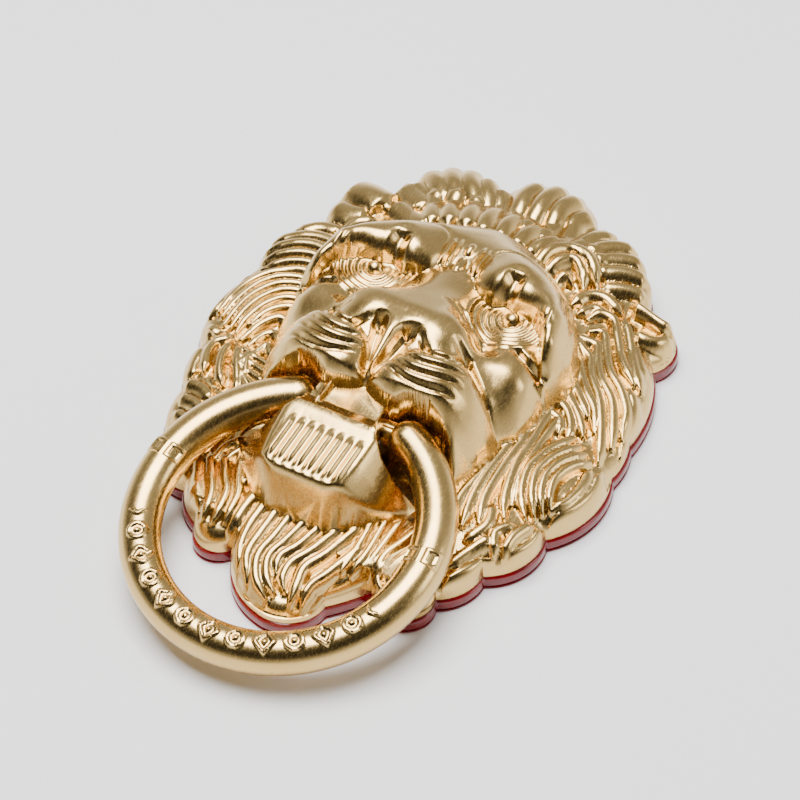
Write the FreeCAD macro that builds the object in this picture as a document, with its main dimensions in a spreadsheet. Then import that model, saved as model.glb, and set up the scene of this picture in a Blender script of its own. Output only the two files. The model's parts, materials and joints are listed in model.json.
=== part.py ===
"""Lion-mask door knocker with a swinging ring, for sticking to a door.

Frame: the back plane, where the knocker meets the door, is Z = 0. +Z points away from the door,
+Y to the top of the lion's head, and +X to the right of someone facing the lion. Millimetres.

From the door outwards: a release liner, a clear adhesive pad cut to the mask's own outline, a flat back
plate let into the hollow of the mask, and the cast mask. The ring is open at the top. Its two ends go in
through the corners of the mouth, where two stub journals, turned towards each other, lie in a half-round
groove in a boss cast inside the muzzle. A clamp and two screws hold them there from behind.
"""
import FreeCAD, Part
import Sketcher

import math
import os

Vector = FreeCAD.Vector
X_AXIS, Z_AXIS = Vector(1, 0, 0), Vector(0, 0, 1)

doc = FreeCAD.newDocument("door_knocker")
sheet = doc.addObject("Spreadsheet::Sheet", "sizes")

# Driving dimensions, in millimetres and degrees. A text is a formula in the others.
SIZES = {
    # mask casting
    "mask_width": 80.0,
    "mask_height": 112.0,
    "wall": 2.2,
    "rim_side": 9.0,
    "rim_end": 13.0,
    # layers between the mask and the door
    "liner_thick": 0.3,
    "pad_thick": 2.2,
    "pad_overhang": 0.5,
    "back_plate_thick": 1.8,
    "plate_gap": 0.3,
    # ring and its pivot
    "ring_radius": 24.0,
    "tube_radius": 3.5,
    "pivot_height": 15.4,
    "tip_height": 2.4,
    "swing": 75.0,
    "ring_gap": 0.45,
    "elbow_gap": 0.6,
    "journal_radius": 2.2,
    "journal_gap": 1.5,
    "running_gap": 0.06,
    # clamp and boss that hold the journals
    "boss_width": 12.8,
    "boss_length": 17.0,
    "boss_offset": -0.6,
    "clamp_thick": 3.4,
    "clamp_screw_spread": 12.0,
    # screws
    "screw_radius": 1.2,
    "pilot_gap": 0.05,
    "clamp_head_radius": 2.3,
    "clamp_head_height": 1.5,
    "clamp_screw_bite": 2.3,
    "plate_head_radius": 2.3,
    "plate_head_height": 1.2,
    "plate_screw_bite": 4.0,
    "post_radius": 3.0,
    "post_x": 20.0,
    "post_top_y": 22.0,
    "post_low_y": -9.0,
    # follow from the others
    "ring_entry": "=boss_width / 2 + elbow_gap + tube_radius",
    "hollow_width": "=mask_width - 2 * rim_side",
    "hollow_height": "=mask_height - 2 * rim_end",
}
for row, (name, value) in enumerate(SIZES.items(), start=1):
    sheet.set(f"A{row}", name)
    sheet.set(f"B{row}", str(value))
    sheet.setAlias(f"B{row}", name)
doc.recompute()


def size(name):
    """A dimension, read back from the spreadsheet."""
    return float(sheet.get(name))


def bind(item, **cells):
    """Ties an object's properties to spreadsheet expressions, in which s. stands for the sheet."""
    for prop, text in cells.items():
        item.setExpression(prop.replace("__", "."), text.replace("s.", "sizes."))
    return item


# ---------------------------------------------------------------- worked-out places
back_of_mask = size("liner_thick") + size("pad_thick")
stretch_x = size("mask_width") / 80.0
stretch_y = size("mask_height") / 112.0
MOUTH_LEVEL = -20.8
pivot = Vector(0, MOUTH_LEVEL * stretch_y, size("pivot_height"))
entry_angle = math.asin(size("ring_entry") / size("ring_radius"))
ring_reach = size("ring_radius") * math.cos(entry_angle)
tip_drop = size("pivot_height") - size("tip_height") - size("tube_radius")
rest_tilt = math.degrees(math.asin(tip_drop / (ring_reach + size("ring_radius"))))
boss_y = pivot.y + size("boss_offset")
POST_PLACES = [
    (side * size("post_x") * stretch_x, y * stretch_y)
    for y in (size("post_top_y"), size("post_low_y"))
    for side in (-1, 1)
]
CLAMP_SCREW_PLACES = [
    (0.0, boss_y + side * size("clamp_screw_spread") / 2) for side in (-1, 1)
]

# The mask's outline: locks of the mane, each an arc through its crown to the notch where it
# ends. It starts at the notch to the left of the beard's middle lock and runs anticlockwise,
# for a mask 80 wide and 112 high.
OUTLINE_START = (-8.5, -44.8)
OUTLINE_LOCKS = [
    # beard
    ((-5.0, -51.2), (1.5, -54.9)),
    ((7.6, -54.0), (10.6, -48.4)),
    ((12.6, -46.2), (15.5, -42.0)),
    ((21.5, -45.4), (25.3, -38.6)),
    # right side of the mane, going up
    ((28.5, -35.4), (29.6, -30.6)),
    ((33.8, -26.5), (34.8, -18.8)),
    ((39.2, -10.5), (38.3, -1.5)),
    ((38.5, 2.6), (37.7, 6.5)),
    ((37.2, 15.0), (33.4, 24.4)),
    # right ear
    ((35.0, 29.4), (32.8, 33.8)),
    ((29.8, 33.3), (27.2, 34.6)),
    # crown: right fan, middle curl, left fan
    ((26.2, 38.8), (23.4, 42.4)),
    ((18.4, 47.2), (10.3, 49.0)),
    ((7.2, 53.8), (1.2, 56.3)),
    ((-4.9, 55.2), (-8.2, 48.4)),
    ((-13.0, 51.2), (-19.0, 52.3)),
    ((-24.4, 50.4), (-24.9, 44.4)),
    ((-26.7, 42.3), (-26.6, 39.8)),
    # left ear
    ((-31.0, 40.9), (-34.9, 38.6)),
    ((-35.9, 34.3), (-33.8, 27.1)),
    # left side of the mane, going down
    ((-39.6, 21.4), (-38.8, 12.3)),
    ((-39.5, 8.6), (-38.9, 4.8)),
    ((-40.2, -1.6), (-37.2, -9.9)),
    ((-36.8, -14.8), (-34.0, -20.2)),
    ((-33.6, -26.0), (-30.5, -31.0)),
    ((-27.8, -36.6), (-22.5, -38.2)),
    ((-19.8, -41.8), (-16.8, -43.6)),
    ((-13.0, -47.3), (-8.5, -44.8)),
]

# The relief: rounded masses that merge, for a mask 80 wide and 112 high. Each is
# (middle x, middle y, half width, half length, foot height, rise, squareness of the dome).
# A mass with a middle x stands on both sides of the face.
RELIEF = {
    "skull": (0, 11, 25, 27, 8.0, 11.5, 3.0),
    "cheek": (15.5, -4, 11.0, 14.0, 8.0, 11.0, 2.5),
    "muzzle_side": (12.0, -16.0, 9.0, 12.0, 9.0, 12.0, 3.0),
    "whisker_pad": (6.5, -10.5, 9.5, 10.5, 12.0, 13.2, 4.0),
    "nose": (0, -3.5, 7.5, 9.0, 14.0, 12.2, 3.0),
    "nose_bridge": (0, 8.5, 7.0, 16.0, 12.0, 11.0, 3.0),
    "brow": (11.0, 19.5, 11.0, 6.5, 12.0, 9.5, 2.0),
    "chin": (0.5, -30.5, 11.5, 10.5, 6.0, 13.2, 3.5),
    "mouth": (0, -22, 10.5, 9.0, 9.0, 10.4, 3.5),
    "ear": (30.5, 33.0, 6.5, 6.5, 5.0, 6.0, 2.0),
}
MANE_DOME = (48.0, 66.0, 14.2, -2.0)
MERGE = 1.1
SURFACE_STEP = 2.0
SURFACE_MARGIN = 6.0
TALL = 60.0


def relief_height(x, y):
    """Height of the mask's front above the door at (x, y)."""
    u, v = x / stretch_x, y / stretch_y
    wide, long, rise, foot = MANE_DOME
    bulge = 1 - (u / wide) ** 2 - (v / long) ** 2
    heights = [foot + rise * math.sqrt(max(bulge, 0.04))]
    for middle_x, middle_y, half_x, half_y, foot, rise, square in RELIEF.values():
        for side in (-1, 1) if middle_x else (1,):
            reach = math.hypot(
                (u - side * middle_x) / half_x, (v - middle_y) / half_y
            )
            heights.append(foot + rise * (1 - reach**square))
    top = max(heights)
    return top + math.log(sum(math.exp(MERGE * (h - top)) for h in heights)) / MERGE


def inner_height(x, y):
    """Height of the hollow's roof at (x, y): the front, less the wall measured square to the surface."""
    step = 0.5
    slope_x = (relief_height(x + step, y) - relief_height(x - step, y)) / (2 * step)
    slope_y = (relief_height(x, y + step) - relief_height(x, y - step)) / (2 * step)
    steepness = min(math.sqrt(1 + slope_x**2 + slope_y**2), 2.0)
    return relief_height(x, y) - size("wall") * steepness


def block_under(height, name):
    """A solid whose top is the smooth surface z = height(x, y), reaching well below the door plane."""
    across = size("mask_width") / 2 + SURFACE_MARGIN
    along = size("mask_height") / 2 + SURFACE_MARGIN
    columns = 2 * math.ceil(across / SURFACE_STEP)
    rows = 2 * math.ceil(along / SURFACE_STEP)
    grid = [
        [
            Vector(x, y, height(x, y))
            for y in (along * (2 * j / rows - 1) for j in range(rows + 1))
        ]
        for x in (across * (2 * i / columns - 1) for i in range(columns + 1))
    ]
    surface = Part.BSplineSurface()
    surface.interpolate(grid)
    item = doc.addObject("Part::Feature", name)
    item.Shape = surface.toShape().extrude(Vector(0, 0, -TALL))
    return item


def outline_wire(name, overhang=0.0):
    """The mask's outline at Z = 0 as one closed wire of arcs, wider by an overhang if one is given."""
    grow_x = stretch_x * (1 + 2 * overhang / size("mask_width"))
    grow_y = stretch_y * (1 + 2 * overhang / size("mask_height"))

    def place(point):
        return Vector(point[0] * grow_x, point[1] * grow_y, 0)

    edges = []
    start = place(OUTLINE_START)
    for crown, notch in OUTLINE_LOCKS:
        edges.append(Part.Arc(start, place(crown), place(notch)).toShape())
        start = place(notch)
    item = doc.addObject("Part::Feature", name)
    item.Shape = Part.Wire(edges)
    return item


def extruded(base, name, foot, thick):
    """A solid made by drawing a flat wire up Z from foot, both given as spreadsheet expressions."""
    item = doc.addObject("Part::Extrusion", name)
    item.Base = base
    item.DirMode = "Custom"
    item.Dir = Z_AXIS
    item.Solid = True
    bind(item, LengthFwd=thick, Placement__Base__z=foot)
    return item


def boolean(kind, name, *items):
    """Part::MultiFuse or Part::MultiCommon of several objects."""
    item = doc.addObject(kind, name)
    item.Shapes = list(items)
    return item


def cut(name, base, tool):
    item = doc.addObject("Part::Cut", name)
    item.Base, item.Tool = base, tool
    return item


def cylinder(name, radius, height, place, axis=Z_AXIS):
    """A cylinder whose foot is at place, along axis; its sizes are spreadsheet expressions."""
    item = doc.addObject("Part::Cylinder", name)
    bind(item, Radius=radius, Height=height)
    item.Placement = FreeCAD.Placement(place, FreeCAD.Rotation(Z_AXIS, axis))
    return item


def box(name, width, length, height, place):
    """A box centred on place in X and Y, with its foot at place."""
    item = doc.addObject("Part::Box", name)
    bind(item, Length=width, Width=length, Height=height)
    doc.recompute()
    item.Placement.Base = place - Vector(
        item.Length.Value / 2, item.Width.Value / 2, 0
    )
    return item


def group(label, items):
    """Several like solids that share a node."""
    item = doc.addObject("Part::Compound", label)
    item.Links = items
    return item


PARTS = []


def part(item, label):
    """Names a finished sub-part after its file."""
    item.Label = label
    PARTS.append(item)
    return item


# ---------------------------------------------------------------- liner, pad and back plate
OUTLINE = outline_wire("mask_outline")
PAD_OUTLINE = outline_wire("pad_outline", size("pad_overhang"))


def make_release_liner():
    """The film that is peeled off before the knocker is stuck up."""
    part(extruded(PAD_OUTLINE, "liner", "0 mm", "s.liner_thick * 1 mm"), "release_liner")


def make_adhesive_pad():
    """The soft clear pad that sticks the mask and its back plate to the door."""
    pad = extruded(PAD_OUTLINE, "pad", "s.liner_thick * 1 mm", "s.pad_thick * 1 mm")
    part(pad, "adhesive_pad")


def oval(name, gap):
    """The outline of the hollow in the mask's back, made smaller all round by a gap."""
    item = doc.addObject("Part::Ellipse", name)
    bind(
        item,
        MajorRadius=f"s.hollow_height / 2 - {gap}",
        MinorRadius=f"s.hollow_width / 2 - {gap}",
    )
    item.Placement.Rotation = FreeCAD.Rotation(Z_AXIS, 90)
    return item


def make_back_plate():
    """A flat plate let into the mask's back, flush with its rim, with four countersunk holes."""
    blank = extruded(
        oval("plate_oval", "s.plate_gap"),
        "plate_blank",
        "(s.liner_thick + s.pad_thick) * 1 mm",
        "s.back_plate_thick * 1 mm",
    )
    holes = []
    for i, (x, y) in enumerate(POST_PLACES):
        foot = Vector(x, y, back_of_mask)
        holes.append(
            cylinder(
                f"plate_hole_{i}",
                "(s.screw_radius + s.plate_gap) * 1 mm",
                "s.back_plate_thick * 2 mm",
                foot,
            )
        )
        sink = doc.addObject("Part::Cone", f"plate_sink_{i}")
        bind(
            sink,
            Radius1="s.plate_head_radius * 1 mm",
            Radius2="s.screw_radius * 1 mm",
            Height="s.plate_head_height * 1 mm",
        )
        sink.Placement.Base = foot
        holes.append(sink)
    plate = cut("plate", blank, boolean("Part::MultiFuse", "plate_holes", *holes))
    part(plate, "back_plate")


def make_plate_screws():
    """Four countersunk screws that hold the back plate to the posts inside the mask."""
    screws = []
    for i, (x, y) in enumerate(POST_PLACES):
        foot = Vector(x, y, back_of_mask)
        head = doc.addObject("Part::Cone", f"plate_screw_head_{i}")
        bind(
            head,
            Radius1="s.plate_head_radius * 1 mm",
            Radius2="s.screw_radius * 1 mm",
            Height="s.plate_head_height * 1 mm",
        )
        head.Placement.Base = foot
        shank = cylinder(
            f"plate_screw_shank_{i}",
            "s.screw_radius * 1 mm",
            "(s.back_plate_thick + s.plate_screw_bite) * 1 mm",
            foot,
        )
        screws.append(boolean("Part::MultiFuse", f"plate_screw_{i}", head, shank))
    part(group("plate_screws", screws), "back_plate_screws")


# ---------------------------------------------------------------- ring
def ring_frame(turn=0.0):
    """Places something drawn about the pivot, ring along -Y, as the ring lies at a swing."""
    return FreeCAD.Placement(pivot, FreeCAD.Rotation(X_AXIS, rest_tilt - turn))


def make_knocker_ring():
    """A round bar bent to an open ring, with a rounded elbow and a stub journal at each end.

    Each stub ends inside its elbow, short of the elbow's middle."""
    bend = doc.addObject("Part::Torus", "ring_bend")
    bind(bend, Radius1="s.ring_radius * 1 mm", Radius2="s.tube_radius * 1 mm")
    bend.Angle3 = 360 - 2 * math.degrees(entry_angle)
    about = FreeCAD.Rotation(Z_AXIS, 90 + math.degrees(entry_angle))
    bend.Placement = FreeCAD.Placement(Vector(0, -ring_reach, 0), about)
    pieces = [bend]
    for side, word in ((-1, "left"), (1, "right")):
        elbow = doc.addObject("Part::Sphere", f"ring_elbow_{word}")
        bind(elbow, Radius="s.tube_radius * 1 mm")
        elbow.Angle1 = 0
        bulge = Vector(-side * math.cos(entry_angle), math.sin(entry_angle), 0)
        elbow.Placement = FreeCAD.Placement(
            Vector(side * size("ring_entry"), 0, 0), FreeCAD.Rotation(Z_AXIS, bulge)
        )
        stub = cylinder(
            f"ring_journal_{word}",
            "s.journal_radius * 1 mm",
            "(s.ring_entry - s.tube_radius / 2 - s.journal_gap / 2) * 1 mm",
            Vector(side * size("journal_gap") / 2, 0, 0),
            side * X_AXIS,
        )
        pieces += [elbow, stub]
    ring = boolean("Part::MultiFuse", "ring", *pieces)
    ring.Placement = ring_frame()
    part(ring, "knocker_ring")


def ring_arc(bar, turn):
    """The ring's bend with a bar of some radius, at a swing, as a shape in the mask's frame."""
    opening = math.degrees(entry_angle)
    bend = Part.makeTorus(
        size("ring_radius"), bar, Vector(), Z_AXIS, 0, 360, 360 - 2 * opening
    )
    bend.rotate(Vector(), Z_AXIS, 90 + opening)
    bend.translate(Vector(0, -ring_reach, 0))
    bend.transformShape(ring_frame(turn).toMatrix())
    return bend


def swing_room():
    """The space that the ring sweeps between its stops, with the ring gap round it."""
    bar = size("tube_radius") + size("ring_gap")
    centre = Vector(0, -ring_reach, 0)
    first = 90 + math.degrees(entry_angle)
    last = 450 - math.degrees(entry_angle)
    edges = []
    for radius in (size("ring_radius") + bar, size("ring_radius") - bar):
        edges.append(Part.makeCircle(radius, centre, Z_AXIS, first, last))
    outer, inner = edges
    for end in (0, 1):
        edges.append(
            Part.makeLine(outer.Vertexes[end].Point, inner.Vertexes[end].Point)
        )
    band = Part.Face(Part.Wire(Part.__sortEdges__(edges)))
    below = Part.makePlane(4 * size("ring_radius"), 4 * size("ring_radius"))
    below.translate(Vector(-2 * size("ring_radius"), -4 * size("ring_radius"), 0))
    flat = band.common(below).Faces[0]
    swept = flat.revolve(Vector(), Vector(-1, 0, 0), size("swing"))
    swept.transformShape(ring_frame().toMatrix())
    room = [ring_arc(bar, 0.0), ring_arc(bar, size("swing"))]
    for side in (-1, 1):
        room.append(
            Part.makeSphere(bar, pivot + Vector(side * size("ring_entry"), 0, 0))
        )
    item = doc.addObject("Part::Feature", "swing_room")
    item.Shape = swept.fuse(room)
    return item


# ---------------------------------------------------------------- mask
def journal_bore(name):
    """The bore that the two stub journals turn in, half in the boss and half in the clamp."""
    return cylinder(
        name,
        "(s.journal_radius + s.running_gap) * 1 mm",
        "s.boss_width * 2 mm",
        pivot - Vector(size("boss_width"), 0, 0),
        X_AXIS,
    )


def make_lion_mask():
    """The hollow casting: sculpted front, hollow back, mouth slots, pivot boss and screw posts."""
    front = block_under(relief_height, "front_block")
    roof = block_under(inner_height, "roof_block")
    body = extruded(OUTLINE, "body_prism", "(s.liner_thick + s.pad_thick) * 1 mm", f"{TALL} mm")
    shell_outside = boolean("Part::MultiCommon", "shell_outside", body, front)
    hollow_prism = extruded(oval("hollow_oval", "0"), "hollow_prism", "0 mm", f"{TALL} mm")
    hollow = boolean("Part::MultiCommon", "hollow", hollow_prism, roof)
    shell = cut("shell", shell_outside, hollow)

    boss_foot = Vector(0, boss_y, size("pivot_height"))
    boss = box("boss_block", "s.boss_width * 1 mm", "s.boss_length * 1 mm", f"{TALL} mm", boss_foot)
    posts = [
        cylinder(
            f"post_{i}",
            "s.post_radius * 1 mm",
            f"{TALL} mm",
            Vector(x, y, back_of_mask + size("back_plate_thick")),
        )
        for i, (x, y) in enumerate(POST_PLACES)
    ]
    solid_inside = boolean("Part::MultiFuse", "solid_inside", boss, *posts)
    inside = boolean("Part::MultiCommon", "inside", solid_inside, front)
    cast = boolean("Part::MultiFuse", "cast", shell, inside)

    pilots = [
        cylinder(
            f"clamp_pilot_{i}",
            "(s.screw_radius + s.pilot_gap) * 1 mm",
            "(s.clamp_screw_bite + s.pilot_gap) * 1 mm",
            Vector(x, y, size("pivot_height")),
        )
        for i, (x, y) in enumerate(CLAMP_SCREW_PLACES)
    ]
    pilots += [
        cylinder(
            f"post_pilot_{i}",
            "(s.screw_radius + s.pilot_gap) * 1 mm",
            "(s.back_plate_thick + s.plate_screw_bite + s.pilot_gap) * 1 mm",
            Vector(x, y, back_of_mask),
        )
        for i, (x, y) in enumerate(POST_PLACES)
    ]
    clamp_room = box(
        "clamp_room",
        "(s.boss_width + 2 * s.plate_gap) * 1 mm",
        "(s.boss_length + 2 * s.plate_gap) * 1 mm",
        "s.pivot_height * 1 mm",
        Vector(0, boss_y, 0),
    )
    room = (clamp_room, journal_bore("boss_bore"), swing_room())
    cuts = boolean("Part::MultiFuse", "mask_cuts", *room, *pilots)
    part(cut("mask", cast, cuts), "lion_mask")


# ---------------------------------------------------------------- clamp and its screws
def sketch_on(body, role, name, offset=Vector()):
    """A sketch on one of a body's own origin planes, shifted by an offset in that plane's axes."""
    sketch = body.newObject("Sketcher::SketchObject", name)
    plane = next(item for item in body.Origin.OriginFeatures if item.Role == role)
    sketch.AttachmentSupport = [(plane, "")]
    sketch.MapMode = "FlatFace"
    sketch.AttachmentOffset = FreeCAD.Placement(offset, FreeCAD.Rotation())
    return sketch


def draw_rectangle(sketch, width, length):
    """A rectangle centred on the sketch's origin, its sides bound to spreadsheet expressions."""
    corners = [Vector(-1, -1), Vector(1, -1), Vector(1, 1), Vector(-1, 1)]
    for i, corner in enumerate(corners):
        sketch.addGeometry(Part.LineSegment(corner, corners[(i + 1) % 4]))
    for i in range(4):
        sketch.addConstraint(Sketcher.Constraint("Coincident", i, 2, (i + 1) % 4, 1))
    for i, kind in enumerate(("Horizontal", "Vertical", "Horizontal", "Vertical")):
        sketch.addConstraint(Sketcher.Constraint(kind, i))
    sketch.addConstraint(Sketcher.Constraint("Symmetric", 0, 1, 1, 2, -1, 1))
    sides = (
        sketch.addConstraint(Sketcher.Constraint("DistanceX", 0, 1, 0, 2, 2.0)),
        sketch.addConstraint(Sketcher.Constraint("DistanceY", 1, 1, 1, 2, 2.0)),
    )
    bind(sketch, **{f"Constraints[{sides[0]}]": width, f"Constraints[{sides[1]}]": length})


def draw_circle(sketch, radius, away_y="0 mm"):
    """A circle on the sketch's Y axis, its radius and distance from the origin bound to expressions."""
    circle = sketch.addGeometry(Part.Circle(Vector(0, 1, 0), Z_AXIS, 1.0))
    sketch.addConstraint(Sketcher.Constraint("DistanceX", -1, 1, circle, 3, 0.0))
    across = sketch.addConstraint(Sketcher.Constraint("DistanceY", -1, 1, circle, 3, 1.0))
    round_ = sketch.addConstraint(Sketcher.Constraint("Radius", circle, 1.0))
    bind(sketch, **{f"Constraints[{across}]": away_y, f"Constraints[{round_}]": radius})


def make_pivot_clamp():
    """The block that closes the journal bore from behind, with two screw holes."""
    body = doc.addObject("PartDesign::Body", "clamp")
    blank = sketch_on(body, "XY_Plane", "clamp_blank")
    draw_rectangle(blank, "s.boss_width * 1 mm", "s.boss_length * 1 mm")
    pad = body.newObject("PartDesign::Pad", "clamp_pad")
    pad.Profile = blank
    pad.Reversed = True
    bind(pad, Length="s.clamp_thick * 1 mm")
    doc.recompute()

    holes = sketch_on(body, "XY_Plane", "clamp_hole_centres")
    for side in ("-", "+"):
        draw_circle(
            holes,
            "(s.screw_radius + s.plate_gap) * 1 mm",
            f"{side}s.clamp_screw_spread / 2 * 1 mm",
        )
    drill(body, holes, "clamp_holes")

    bore = sketch_on(body, "YZ_Plane", "clamp_bore_circle", Vector(-size("boss_offset"), 0, 0))
    draw_circle(bore, "(s.journal_radius + s.running_gap) * 1 mm")
    drill(body, bore, "clamp_bore")
    body.Placement.Base = Vector(0, boss_y, size("pivot_height"))
    part(body, "pivot_clamp")


def drill(body, sketch, name):
    """A pocket both ways through a body, which has to take material away."""
    doc.recompute()
    before = body.Shape.Volume
    pocket = body.newObject("PartDesign::Pocket", name)
    pocket.Profile = sketch
    pocket.SideType = "Symmetric"
    pocket.Type = "ThroughAll"
    doc.recompute()
    if body.Shape.Volume >= before:
        raise RuntimeError(f"{name} cut nothing")


def make_clamp_screws():
    """Two pan-head screws that hold the clamp to the boss."""
    seat = size("pivot_height") - size("clamp_thick")
    screws = []
    for i, (x, y) in enumerate(CLAMP_SCREW_PLACES):
        head = cylinder(
            f"clamp_screw_head_{i}",
            "s.clamp_head_radius * 1 mm",
            "s.clamp_head_height * 1 mm",
            Vector(x, y, seat - size("clamp_head_height")),
        )
        shank = cylinder(
            f"clamp_screw_shank_{i}",
            "s.screw_radius * 1 mm",
            "(s.clamp_thick + s.clamp_screw_bite) * 1 mm",
            Vector(x, y, seat),
        )
        screws.append(boolean("Part::MultiFuse", f"clamp_screw_{i}", head, shank))
    part(group("clamp_screw_pair", screws), "clamp_screws")


make_release_liner()
make_adhesive_pad()
make_back_plate()
make_plate_screws()
make_knocker_ring()
make_lion_mask()
make_pivot_clamp()
make_clamp_screws()
doc.recompute()

for item in doc.Objects:
    bad = [state for state in item.State if state in ("Invalid", "Error")]
    if bad:
        raise RuntimeError(f"{item.Name} ({item.Label}) did not compute: {bad}")
os.makedirs("parts", exist_ok=True)
for item in PARTS:
    shape = item.Shape
    if shape.isNull() or not shape.isValid() or not shape.Solids:
        raise RuntimeError(f"{item.Label} has no valid solid")
    shape.exportStep(f"parts/{item.Label}.step")
    extent = shape.BoundBox
    print(
        f"{item.Label}: {len(shape.Solids)} solids, {shape.Volume:.0f} mm3,"
        f" x {extent.XMin:.1f}..{extent.XMax:.1f}, y {extent.YMin:.1f}..{extent.YMax:.1f},"
        f" z {extent.ZMin:.2f}..{extent.ZMax:.2f}"
    )
print(f"pivot {pivot}, rest tilt {rest_tilt:.3f} degrees, ring reach {ring_reach:.3f}")
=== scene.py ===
"""The looks of a lion-mask door knocker: sculpted gold casting, relief ring, red gel pad and its film.

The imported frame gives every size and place. All the pieces here are in metres, in the frame's own axes:
the door is Z = 0, +Z points out of it, and +Y points to the top of the lion's head. The sculpture's own
lists are in millimetres.
"""
import json
import math

import bpy
import numpy as np
from mathutils import Matrix, Vector


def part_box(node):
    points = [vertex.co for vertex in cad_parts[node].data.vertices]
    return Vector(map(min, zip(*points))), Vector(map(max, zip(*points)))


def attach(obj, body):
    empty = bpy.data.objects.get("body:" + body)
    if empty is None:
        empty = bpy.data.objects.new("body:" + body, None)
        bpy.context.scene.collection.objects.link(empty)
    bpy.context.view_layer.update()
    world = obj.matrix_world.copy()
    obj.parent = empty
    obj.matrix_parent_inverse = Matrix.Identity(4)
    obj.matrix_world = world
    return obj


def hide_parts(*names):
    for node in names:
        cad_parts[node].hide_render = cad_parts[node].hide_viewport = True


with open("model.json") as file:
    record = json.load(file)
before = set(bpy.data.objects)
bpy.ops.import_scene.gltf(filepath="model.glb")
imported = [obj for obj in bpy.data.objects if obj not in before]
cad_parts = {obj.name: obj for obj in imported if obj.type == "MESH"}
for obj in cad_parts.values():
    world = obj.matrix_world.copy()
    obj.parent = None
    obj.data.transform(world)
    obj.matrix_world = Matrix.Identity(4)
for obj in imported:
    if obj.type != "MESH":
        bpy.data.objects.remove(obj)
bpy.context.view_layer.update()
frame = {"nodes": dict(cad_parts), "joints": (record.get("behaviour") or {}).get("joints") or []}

bl_info = {
    "name": "Lion Knocker",
    "version": (1, 0, 0),
    "blender": (4, 5, 0),
    "location": "3D View > Sidebar > Knocker",
    "description": "Builds a lion-mask door knocker round its packed frame",
    "category": "Object",
}

MM = 0.001
HINGE = next(joint for joint in frame["joints"] if joint["name"] == "ring_hinge")
PIVOT = Vector(HINGE["pos_m"])
SWING = math.radians(HINGE["range_deg"][1])

# Sizes that the CAD's pieces share, in metres.
BAR_RADIUS = 3.5 * MM
JOURNAL_RADIUS = 2.2 * MM
BORE_RADIUS = 2.26 * MM
JOURNAL_INNER_END = 0.75 * MM
RING_ENTRY = 10.5 * MM
POST_RADIUS = 3.0 * MM
SCREW_HEAD_RADIUS = 2.3 * MM
# Cuts through the casting end this high, above all of it.
ABOVE = 30 * MM
# The casting's mesh is thinned to about this many triangles.
MOST_TRIANGLES = 188000


# ------------------------------------------------------------------ settings
class KnockerMaskSettings(bpy.types.PropertyGroup):
    """Sizes of the sculpted mask."""

    wall: bpy.props.FloatProperty(
        name="Wall", description="Least wall of the casting", default=1.9 * MM, unit="LENGTH"
    )
    edge_round: bpy.props.FloatProperty(
        name="Edge Round", description="Radius of the rim's front edge", default=2.4 * MM, unit="LENGTH"
    )
    grid: bpy.props.IntProperty(
        name="Grid", description="Points across the sculpted surface", default=430, min=60, max=600
    )
    strand_height: bpy.props.FloatProperty(
        name="Strand Height", description="How far each strand of the mane stands up",
        default=1.35 * MM, unit="LENGTH"
    )
    strand_spread: bpy.props.FloatProperty(
        name="Strand Spread", description="How wide each strand is drawn against its listed width",
        default=1.22
    )
    ring_gap: bpy.props.FloatProperty(
        name="Ring Gap", description="Room cut round the ring over its swing",
        default=0.45 * MM, unit="LENGTH"
    )


class KnockerRingSettings(bpy.types.PropertyGroup):
    """Sizes of the ring and its relief."""

    bar: bpy.props.FloatProperty(
        name="Bar Radius", description="Radius of the ring's round bar", default=BAR_RADIUS, unit="LENGTH"
    )
    relief: bpy.props.FloatProperty(
        name="Relief", description="Height of the raised ornament", default=0.34 * MM, unit="LENGTH"
    )
    relief_spread: bpy.props.FloatProperty(
        name="Relief Spread", description="Angle either side of the ring's foot that carries ornament",
        default=math.radians(66), subtype="ANGLE"
    )


class KnockerFinishSettings(bpy.types.PropertyGroup):
    """Colours of the finishes, as sRGB hex."""

    gold: bpy.props.StringProperty(
        name="Gold", description="Plating colour of mask and ring", default="DBB874"
    )
    gel: bpy.props.StringProperty(
        name="Gel", description="Colour of the adhesive gel", default="8C0410"
    )
    film: bpy.props.StringProperty(
        name="Film", description="Colour of the release film", default="9A0614"
    )


class KnockerStageSettings(bpy.types.PropertyGroup):
    """Camera and lights."""

    azimuth: bpy.props.FloatProperty(
        name="Azimuth", description="Camera's turn about Z from the front",
        default=math.radians(29.1), subtype="ANGLE"
    )
    elevation: bpy.props.FloatProperty(
        name="Elevation", description="Camera's height above the floor",
        default=math.radians(45.8), subtype="ANGLE"
    )
    distance: bpy.props.FloatProperty(
        name="Distance", description="Camera's distance from the frame's origin",
        default=0.480, unit="LENGTH"
    )
    room_front: bpy.props.FloatProperty(
        name="Room Front", description="Brightness of the room behind the camera", default=0.02
    )
    room_back: bpy.props.FloatProperty(
        name="Room Back", description="Brightness of the room beyond the knocker", default=0.45
    )
    room_horizon: bpy.props.FloatProperty(
        name="Room Horizon", description="Brightness added along the horizon", default=0.65
    )
    lens: bpy.props.FloatProperty(
        name="Lens", description="Focal length in millimetres", default=125.5, unit="CAMERA"
    )


# ------------------------------------------------------------------ small tools
def settings(name):
    """The settings group of that name on the scene."""
    return getattr(bpy.context.scene, name)


def put_down():
    """Deselects everything, because the frame's nodes arrive selected."""
    if bpy.context.mode != "OBJECT":
        bpy.ops.object.mode_set(mode="OBJECT")
    bpy.ops.object.select_all(action="DESELECT")


def take_up(piece):
    """Makes a piece the only selected and active one."""
    put_down()
    piece.select_set(True)
    bpy.context.view_layer.objects.active = piece


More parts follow.
